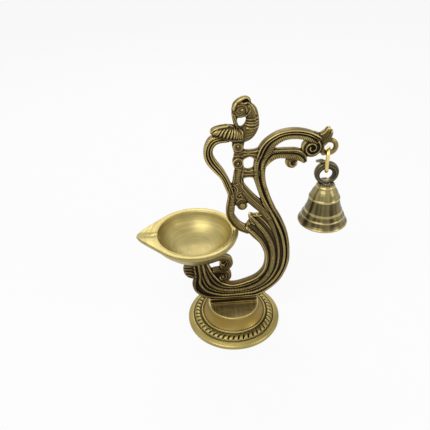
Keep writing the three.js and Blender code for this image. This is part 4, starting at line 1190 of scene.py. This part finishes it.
def bell_tone(m, color, x, y, radius, height):
    """Dark patina between the rings of the bell; painted reflection thins it on the shoulder and in upright
    streaks round the bell.
    """
    patina = m.mix(m.noise(160), (0.035, 0.028, 0.014), (0.08, 0.064, 0.03))
    # Painted reflection: a lighter shoulder and upright streaks round the bell
    shoulder = m.times(m.span(height, 0.0205, 0.0225), 0.3)
    around = m.vector(m.math("DIVIDE", x, radius), m.math("DIVIDE", y, radius))
    streak_reflection = m.times(m.span(m.noise(3.4, 3, 0.6, around), 0.42, 0.7), 0.4)
    thin = m.add(streak_reflection, shoulder, m.about_zero(m.noise(60), 0.3))
    return m.mix(m.math("SUBTRACT", m.attribute("soot"), thin), color, patina)


def wire_brass(name, light, dark):
    m = metal(name)
    color = m.mix(m.span(m.noise(120), 0.3, 0.75), light, dark)
    rough = m.span(m.noise(600, 3), 0.3, 0.7, 0.2, 0.36)
    return metal_surface(m, 1.0, color, rough, m.bump(m.noise(900, 3), 0.25, 0.00008))


casting_brass = antique(
    "antique_brass", (0.52, 0.4, 0.14),
    ((0.068, 0.047, 0.016), (0.118, 0.082, 0.028)), (0.008, 0.006, 0.004))
crown_bronze = antique(
    "crown_bronze", (0.27, 0.225, 0.12),
    ((0.035, 0.029, 0.016), (0.075, 0.062, 0.033)), (0.006, 0.005, 0.004),
    ((BELL_X + HOLE[0], 0, BELL_Z + HOLE[1] - HOLE[2]), 3.4))
satin_base = turned(
    "satin_base", (LAMP_X, 0, 0), (0.47, 0.375, 0.13), (0.23, 0.178, 0.058), 0.34, 1.1, base_tone)
satin_bowl = turned(
    "satin_bowl", (BOWL_X, 0, BOWL_Z), (0.56, 0.47, 0.19), (0.34, 0.27, 0.095), 0.38, 1.5, bowl_tone)
bell_bronze = turned(
    "bell_bronze", (BELL_X, 0, BELL_Z), (0.6, 0.5, 0.22), (0.33, 0.26, 0.1), 0.26, 1.2, bell_tone)
bright_wire = wire_brass("bright_wire", (0.83, 0.67, 0.26), (0.62, 0.47, 0.15))
hardware_brass = wire_brass("hardware_brass", (0.74, 0.62, 0.3), (0.5, 0.4, 0.17))


# Assembly


def dress(obj, material, body, node):
    obj.data.materials.clear()
    obj.data.materials.append(material)
    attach(obj, body)
    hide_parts(node)


# The casting is split at heights, so that each piece stays light
CASTING_PIECES = ["casting_foot", "casting_scroll", "casting_neck", "casting_top"]
CASTING_CUTS = [37, 83, 128]

for piece in fused_pieces(casting(), VOXEL, CASTING_PIECES, CASTING_CUTS, (LAMP_X, 0, FOOT_Z)):
    dress(piece, casting_brass, "stand", "stand_frame")
dress(turned_base(), satin_base, "stand", "base_foot")
dress(spouted_bowl(), satin_bowl, "stand", "oil_bowl")
dress(bell_shell(), bell_bronze, "bell", "bell_body")
dress(bell_crown(), crown_bronze, "bell", "bell_body")
dress(wire_link(), bright_wire, "link", "bell_link")
dress(wire_staple(), bright_wire, "bell", "clapper_staple")
dress(clapper_wire(), bright_wire, "clapper", "clapper_rod")
dress(clapper_bob(), bright_wire, "clapper", "clapper_ball")
for node in ("base_washer", "base_screw", "bowl_stud"):
    materials = frame["nodes"][node].data.materials
    materials.clear()
    materials.append(hardware_brass)


# Stage

FLOOR_SIZE = 3.0
FLOOR_COLOR = (0.9, 0.9, 0.9)
FLOOR_WHITE = 0.88
WORLD_COLOR = (0.85, 0.85, 0.85)
WORLD_LIGHT = 0.6


def seen_white(m, plain, share):
    """A plain white over a shader for rays from the camera, a reflection or clear matter."""
    path = m.node("LightPath").outputs
    seen = path["Is Camera Ray"]
    for ray in ("Is Glossy Ray", "Is Transmission Ray"):
        seen = m.math("MAXIMUM", seen, path[ray])
    white = m.node("Emission", {"Color": (1, 1, 1), "Strength": 1.0})
    return m.node("MixShader", (m.times(seen, share), plain.outputs[0], white.outputs[0]))


def floor():
    """Pale floor that stays white behind the object and keeps its shadow."""
    corners = [(x * FLOOR_SIZE, y * FLOOR_SIZE, 0) for x, y in ((-1, -1), (1, -1), (1, 1), (-1, 1))]
    obj = new_object("floor", new_mesh("floor", corners, [(0, 1, 2, 3)]))
    m = Nodes(bpy.data.materials.new("pale_floor"))
    plain = m.node("BsdfDiffuse", {"Color": FLOOR_COLOR})
    obj.data.materials.append(m.finish("OutputMaterial", seen_white(m, plain, FLOOR_WHITE)))


def world():
    studio = bpy.data.worlds.new("studio")
    bpy.context.scene.world = studio
    m = Nodes(studio)
    plain = m.node("Background", {"Color": WORLD_COLOR, "Strength": WORLD_LIGHT})
    m.finish("OutputWorld", seen_white(m, plain, 1.0))


def lamp(name, place, target, size, power):
    light = bpy.data.lights.new(name, "AREA")
    light.shape = "RECTANGLE"
    light.size, light.size_y = size
    light.energy = power
    obj = new_object(name, light)
    obj.location = place
    obj.rotation_euler = (Vector(target) - Vector(place)).to_track_quat("-Z", "Y").to_euler()


def camera():
    """Camera of the photograph, in the lamp's frame."""
    place = Vector((-26.145 + LAMP_X, -287.506, 295.14)) * MM
    right = Vector((0.997049, -0.069566, -0.032454))
    down = Vector((-0.065667, -0.553993, -0.829928))
    forward = Vector((0.039755, 0.82961, -0.556926))
    focal_pixels = 480.144
    image_pixels = 430
    data = bpy.data.cameras.new("photo")
    data.sensor_width = 36
    data.lens = focal_pixels / image_pixels * data.sensor_width
    data.clip_start = 0.01
    obj = new_object("photo", data)
    axes = Matrix((right, -down, -forward)).transposed()
    obj.matrix_world = Matrix.Translation(place) @ axes.to_4x4()
    bpy.context.scene.camera = obj


floor()
world()
lamp("key", (-0.35, -0.45, 0.75), (0, 0, 0.08), (0.6, 0.45), 2.6)
lamp("fill", (0.6, -0.35, 0.45), (0, 0, 0.1), (0.25, 0.4), 0.9)
lamp("back", (-0.1, 0.65, 0.6), (0, 0, 0.1), (0.6, 0.3), 1.3)
camera()

bpy.context.scene.view_settings.view_transform = "Standard"
